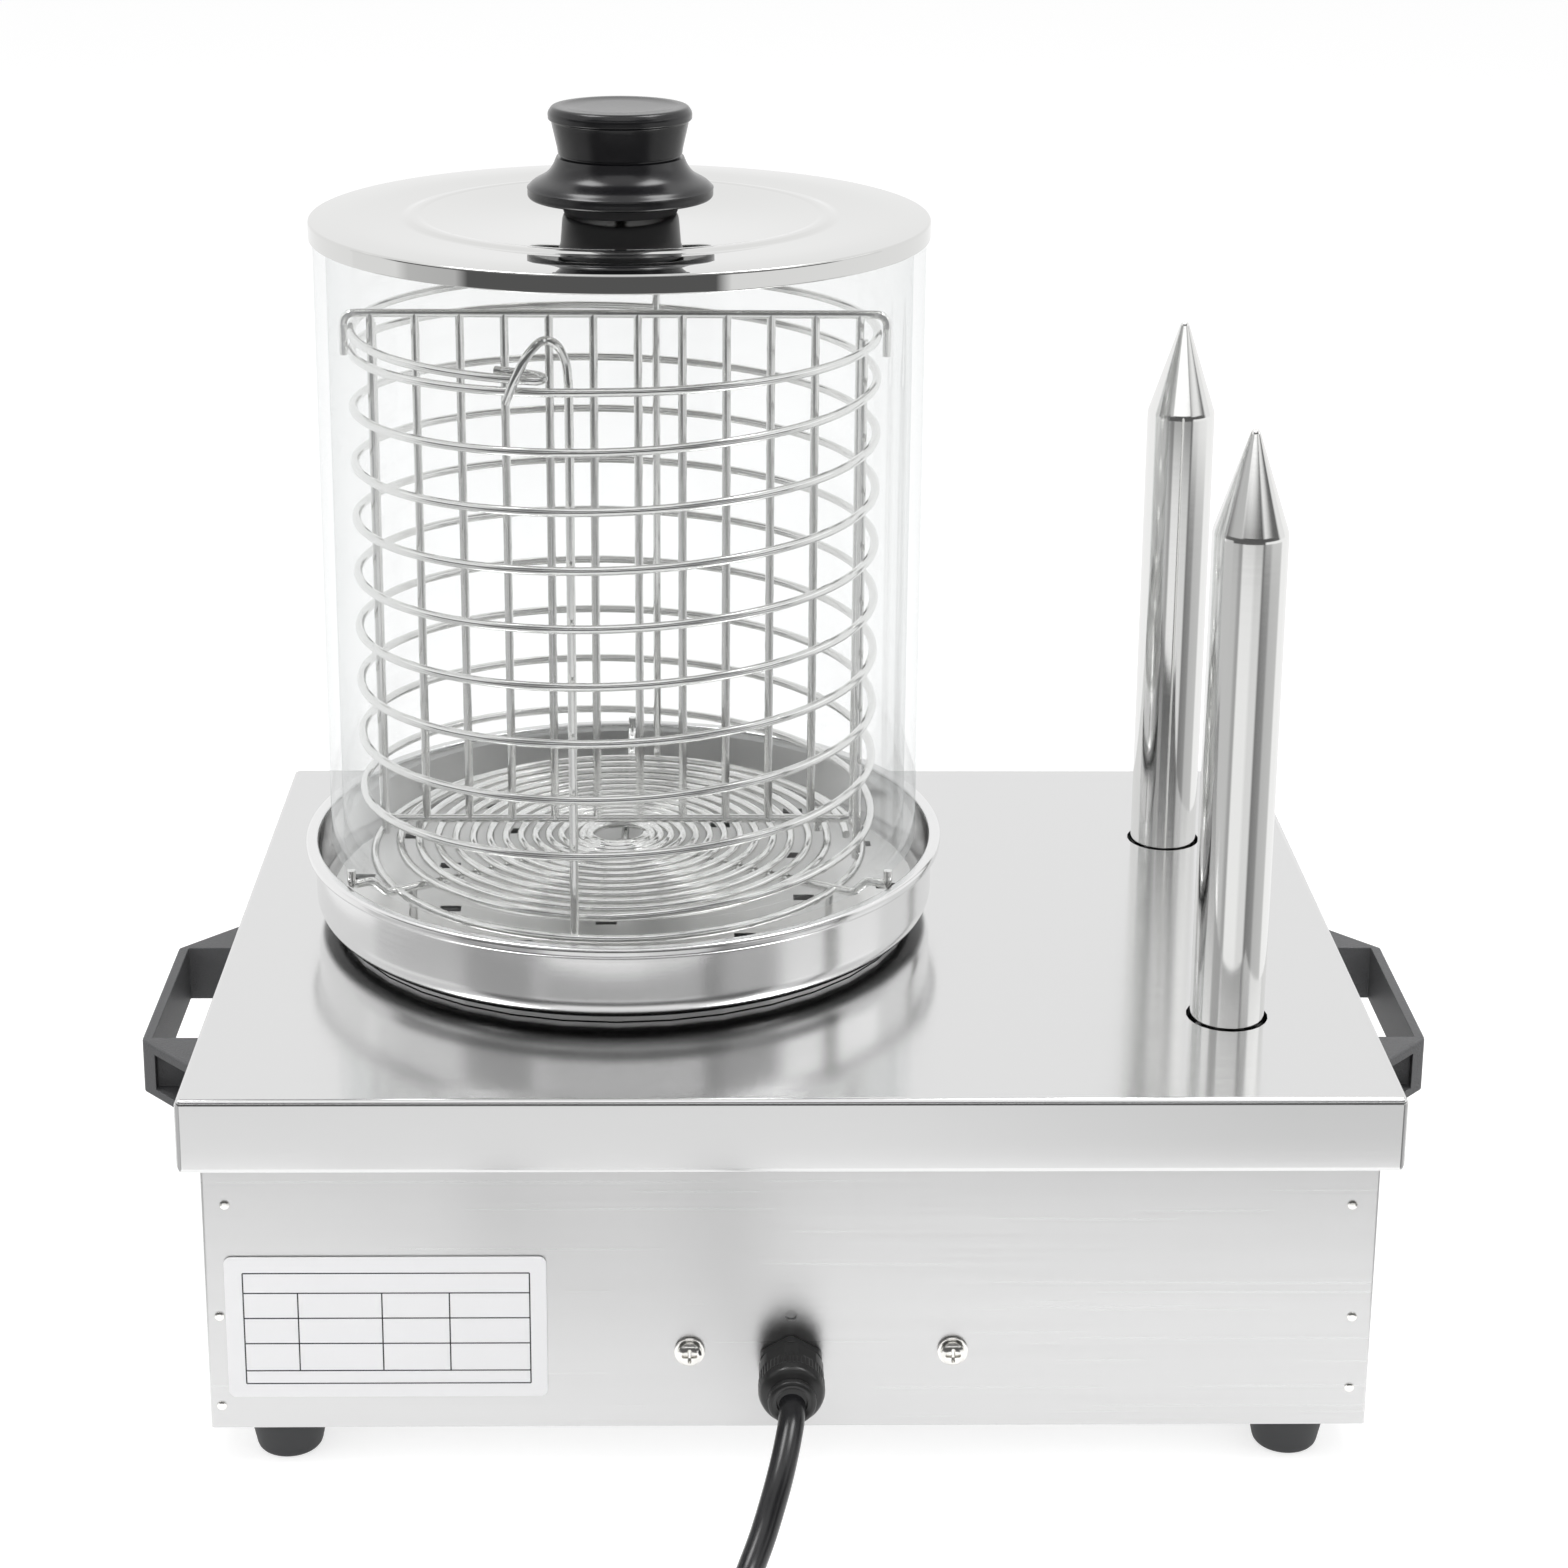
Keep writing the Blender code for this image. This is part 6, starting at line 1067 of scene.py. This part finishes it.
grip_heights = np.linspace(0.0068, 0.0190, 20)
grip_radii = np.linspace(0.0173, 0.0165, 20)
dial_knob_profile = np.concatenate(
    [
        soften([(0, 0.0017), (0.022, 0.0017), (0.022, 0.0048), (0.0178, 0.0057)], 0.0006),
        np.stack([grip_radii, grip_heights], 1),
        soften([(0.0165, 0.0200), (0.0160, 0.0213), (0, 0.0213)], 0.0012),
    ]
)
pointer = bar_box(
    (DIAL_CENTRE[0] - 0.0012, FRONT_WALL + 0.0212, DIAL_Z + 0.005),
    (DIAL_CENTRE[0] + 0.0012, FRONT_WALL + 0.0222, DIAL_Z + 0.0155),
)
GRIP_LOOK = (knob_plastic, "dial", "thermostat_knob", "knob_plastic")
on_front = {"axes": TO_FRONT}
turned("dial_knob", dial_knob_profile, DIAL_CENTRE, *GRIP_LOOK, 192, wave=knob_flutes, **on_front)
piece("dial_pointer", [pointer], print_white, "dial")

lens_corners = [(0, 0.0013), (0.0056, 0.0013), (0.0055, 0.0022), (0.0034, 0.0040), (0, 0.0045)]
lens = soften(lens_corners, 0.0014)
tube_corners = [(0, -0.022), (0.005, -0.022), (0.005, 0.0003), (0.0075, 0.0003)]
collar = soften([*tube_corners, (0.0075, 0.0014), (0.0068, 0.0018), (0, 0.0018)], 0.0003)
for lamp, lamp_x in (("left_pilot_lamp", 0.035), ("right_pilot_lamp", 0.095)):
    lamp_place = (lamp_x, FRONT_WALL, 0.083)
    lamp_look = (lamp_red, "machine", lamp, "lamp_red")
    turned(lamp + "_lens", lens, lamp_place, *lamp_look, 64, **on_front)
    piece(lamp + "_collar", [lathe(collar, lamp_place, 64, **on_front)], screw_steel)

# %% Numbers and marks on the dial
STROKES = {
    "0": [(0, 0.2), (0, 0.8), (0.25, 1), (0.5, 0.8), (0.5, 0.2), (0.25, 0), (0, 0.2)],
    "1": [(0.1, 0.8), (0.3, 1), (0.3, 0)],
    "2": [(0, 0.8), (0.1, 0.97), (0.4, 0.97), (0.5, 0.75), (0.42, 0.5), (0, 0), (0.52, 0)],
    "3": [(0, 0.9), (0.4, 1), (0.5, 0.75), (0.2, 0.53), (0.5, 0.28), (0.4, 0), (0, 0.08)],
    "5": [(0.5, 1), (0.06, 1), (0.02, 0.55), (0.38, 0.6), (0.5, 0.3), (0.36, 0), (0, 0.06)],
}
PRINT_Y = FRONT_WALL + 0.0011
PRINT_RADIUS = 0.0002
NUMBERS_REACH = 0.0291
MARKS_FROM, SHORT_MARK, LONG_MARK = 0.0232, 0.0245, 0.0256
DIGIT_HEIGHT = 0.0026
DIGIT_STEP = 0.0020


def number(text, centre_x, centre_z):
    """Each digit's strokes as round wires sunk halfway into the dial. +X is on the reader's left."""
    made = []
    width = DIGIT_STEP * (len(text) - 1) + DIGIT_HEIGHT * 0.5
    for index, digit in enumerate(text):
        path = np.array(STROKES[digit])
        along = index * DIGIT_STEP - width / 2 + path[:, 0] * DIGIT_HEIGHT
        up = (path[:, 1] - 0.5) * DIGIT_HEIGHT
        points = np.stack([centre_x - along, np.full(len(path), PRINT_Y), centre_z + up], axis=1)
        made.append(wire(points, PRINT_RADIUS, 6, ACROSS_Y))
    return made


dial_marks = number("0", DIAL_CENTRE[0], DIAL_Z + NUMBERS_REACH)
for step in range(26):
    dial_angle = math.radians(90 - 45 - 9 * step)
    far_end = SHORT_MARK if step % 5 else LONG_MARK
    mark = [polar(reach, dial_angle, 0, (0, 0)) for reach in (MARKS_FROM, far_end)]
    points = [(DIAL_CENTRE[0] - x, PRINT_Y, DIAL_Z + z) for x, z, _ in mark]
    dial_marks.append(wire(points, PRINT_RADIUS, 6, ACROSS_Y))
    if step % 5 == 0:
        degrees = str(50 + 10 * step)
        middle = polar(NUMBERS_REACH, dial_angle, 0, (0, 0))
        dial_marks += number(degrees, DIAL_CENTRE[0] - middle[0], DIAL_Z + middle[1])
piece("dial_numbers", dial_marks, print_white)

# %% [markdown]
# ## Floor and light
# The machine stands on white. A white floor under strong lamps would do, but it would also brighten the
# machine from below. So the floor glows only for the eye and for what metal or glass passes on, and
# the world lights all sides evenly and is a little brighter for the eye.


# %% Stage
def stage_panel(name, corners, material):
    """A flat panel from its four corners."""
    mesh = bpy.data.meshes.new(name)
    mesh.from_pydata(corners, [], [(0, 1, 2, 3)])
    mesh.materials.append(material)
    panel = new_object(name, mesh)
    return panel


def seen_by_eye(tree):
    """A node that gives 1 for the camera's own rays and those that glass or metal passes on."""
    path = new_node(tree, "LightPath")
    first, second = (new_node(tree, "Math") for _ in range(2))
    first.operation = second.operation = "MAXIMUM"
    join(
        tree,
        (path, "Is Camera Ray", first, 0),
        (path, "Is Glossy Ray", first, 1),
        (first, "Value", second, 0),
        (path, "Is Transmission Ray", second, 1),
    )
    return second


floor_paint, floor_tree, floor_out = bare_material("floor_white")
floor_matt = new_node(floor_tree, "BsdfDiffuse", Color=(0.5, 0.5, 0.5, 1))
floor_white = new_node(floor_tree, "Emission")
floor_both = new_node(floor_tree, "AddShader")
floor_level = new_node(floor_tree, "Math")
floor_level.operation = "MULTIPLY"
floor_level.inputs[1].default_value = 0.66
join(
    floor_tree,
    (seen_by_eye(floor_tree), "Value", floor_level, 0),
    (floor_level, "Value", floor_white, "Strength"),
    (floor_matt, "BSDF", floor_both, 0),
    (floor_white, "Emission", floor_both, 1),
    (floor_both, "Shader", floor_out, "Surface"),
)
NEAR_X, NEAR_FRONT, NEAR_BACK, FAR = 0.26, -0.32, 0.32, 9
floor_parts = {
    "floor_near": (-NEAR_X, NEAR_X, NEAR_FRONT, NEAR_BACK),
    "floor_left": (-FAR, -NEAR_X, -FAR, FAR),
    "floor_right": (NEAR_X, FAR, -FAR, FAR),
    "floor_camera_side": (-NEAR_X, NEAR_X, -FAR, NEAR_FRONT),
    "floor_far_side": (-NEAR_X, NEAR_X, NEAR_BACK, FAR),
}
for floor_name, (x0, x1, y0, y1) in floor_parts.items():
    corners = [(x0, y0, 0), (x1, y0, 0), (x1, y1, 0), (x0, y1, 0)]
    part = stage_panel(floor_name, corners, floor_paint)
    part.visible_glossy = floor_name == "floor_near"

world = bpy.data.worlds.new("white_studio")
bpy.context.scene.world = world
world.use_nodes = True
world_tree = world.node_tree
background = world_tree.nodes["Background"]
set_inputs(background, Color=(1, 1, 1, 1))
level = new_node(world_tree, "MapRange", To_Min=0.62, To_Max=1.0)
join(
    world_tree,
    (seen_by_eye(world_tree), "Value", level, "Value"),
    (level, "Result", background, "Strength"),
)
print("floor parts", len(floor_parts))

# %% [markdown]
# ## What the steel reflects
# Polished steel shows what stands round it: a white table in front, a dark gap above the table's far
# edge with the camera in it, and pale panels beside it. Real boards and lamps could stand there, but a
# round wall and a dome that only reflections see are easier to tune. Each row of numbers is the
# brightness across one height: degrees from the camera's direction, then level.

# %% The room's wall and dome
TABLE = [(-103, 0.95), (-98, 0.60), (-44, 0.60), (-36, 0.42), (-31, 0.42), (-26, 0.95)]
TABLE += [(3, 0.95), (12, 0.79), (28, 0.79), (34, 0.22), (54, 0.30), (62, 0.55), (93, 0.60)]
TABLE += [(100, 1.0)]
TABLE_EDGE = [(-86, 0.95), (-80, 0.65), (-60, 0.60), (-55, 0.12), (34, 0.12), (40, 0.95), (110, 1.0)]
GAP = [(-92, 0.9), (-84, 0.16), (-50, 0.12), (50, 0.10), (80, 0.15), (88, 0.9)]
PANELS = [(-103, 0.9), (-98, 0.55), (-34, 0.55), (-26, 0.07), (28, 0.07), (38, 0.95), (110, 1.0)]
OVERHEAD = [(-64, 1.25), (-58, 0.6), (-36, 0.6), (-32, 1.35), (27, 1.35), (31, 0.5), (56, 0.5)]
OVERHEAD += [(63, 1.5), (110, 1.5)]
SOFTBOXES = [(-128, 0.35), (-118, 9), (-76, 9), (-66, 0.4), (-60, 1.2), (60, 1.2), (66, 0.4)]
SOFTBOXES += [(76, 9), (118, 9), (128, 0.35)]
SHADE = [(-64, 0.9), (-54, 0.15), (54, 0.15), (64, 0.9)]
ZENITH = [(0, 0.9)]
WALL_ROWS = [(-50, TABLE), (-13.5, TABLE), (-12.5, TABLE_EDGE), (-3, TABLE_EDGE), (0, GAP), (15, GAP)]
WALL_ROWS += [(18, PANELS), (21, PANELS), (23, OVERHEAD), (27, OVERHEAD), (30, SHADE), (48, SHADE)]
DOME_ROWS = [(48, SHADE), (51, OVERHEAD), (55, OVERHEAD), (58, SOFTBOXES), (72, SOFTBOXES)]
DOME_ROWS += [(78, ZENITH)]
ROOM_RADIUS = 3.0
ROOM_CENTRE = (0.04, 0.0, 0.2)
WALL_END = 48


def glow_sheet(name, azimuths, heights, rows, paint):
    """A sheet of the round room: an upright wall to WALL_END degrees, and above that a dome."""
    levels = np.array([np.interp(azimuths, *zip(*row)) for _, row in rows])
    row_heights = [height for height, _ in rows]
    glow = np.array([np.interp(heights, row_heights, column) for column in levels.T]).T
    around, raised = np.radians(azimuths)[None, :], np.radians(heights)[:, None]
    wall_end = math.radians(WALL_END)
    reach = ROOM_RADIUS * np.cos(np.maximum(raised, wall_end)) / math.cos(wall_end)
    rise = np.where(raised < wall_end, np.tan(raised), np.sin(raised) / math.cos(wall_end))
    room_x = ROOM_CENTRE[0] + reach * np.sin(around)
    room_y = ROOM_CENTRE[1] - reach * np.cos(around)
    room_z = ROOM_CENTRE[2] + ROOM_RADIUS * rise + around * 0
    points = np.stack([room_x, room_y, room_z], axis=-1).reshape(-1, 3)
    across = len(azimuths)
    first = (np.arange(len(heights) - 1)[:, None] * across + np.arange(across - 1)).ravel()
    faces = np.stack([first, first + 1, first + across + 1, first + across], 1)
    mesh = bpy.data.meshes.new(name)
    mesh.from_pydata(points.tolist(), [], faces.tolist())
    mesh.attributes.new("glow", "FLOAT", "POINT").data.foreach_set("value", glow.ravel())
    mesh.materials.append(paint)
    sheet = new_object(name, mesh)
    sheet.visible_camera = False
    sheet.visible_diffuse = False
    sheet.visible_transmission = False
    sheet.visible_shadow = False
    print(name, len(faces), "faces")


room_paint, room_tree, room_out = bare_material("room_glow")
room_light = new_node(room_tree, "Emission")
room_level = new_node(room_tree, "Attribute")
room_level.attribute_name = "glow"
join(
    room_tree,
    (room_level, "Fac", room_light, "Strength"),
    (room_light, "Emission", room_out, "Surface"),
)
glow_sheet("room_wall", np.arange(-110, 111), np.arange(-50, WALL_END + 1), WALL_ROWS, room_paint)
glow_sheet("room_dome", np.arange(-180, 181), np.arange(WALL_END, 90), DOME_ROWS, room_paint)


# %% Lamps
def area_lamp(name, place, target, size, power):
    """A soft square lamp that faces a target. The room's dome stands for it in reflections."""
    lamp = bpy.data.lights.new(name, "AREA")
    lamp.shape = "SQUARE"
    lamp.size = size
    lamp.energy = power
    shape = new_object(name, lamp)
    shape.location = place
    facing = Vector(place) - Vector(target)
    shape.rotation_euler = facing.to_track_quat("Z", "Y").to_euler()
    shape.visible_glossy = False


area_lamp("top_lamp", (0.1, -0.1, 1.9), (0, 0, 0.1), 1.4, 22)
area_lamp("left_lamp", (-1.7, -0.9, 1.0), (0, 0, 0.15), 1.0, 7)
area_lamp("right_lamp", (1.7, -0.9, 1.0), (0, 0, 0.15), 1.0, 7)
area_lamp("front_lamp", (0, -2.0, 0.9), (0, 0, 0.1), 1.2, 7)
print("stage and lamps ready")
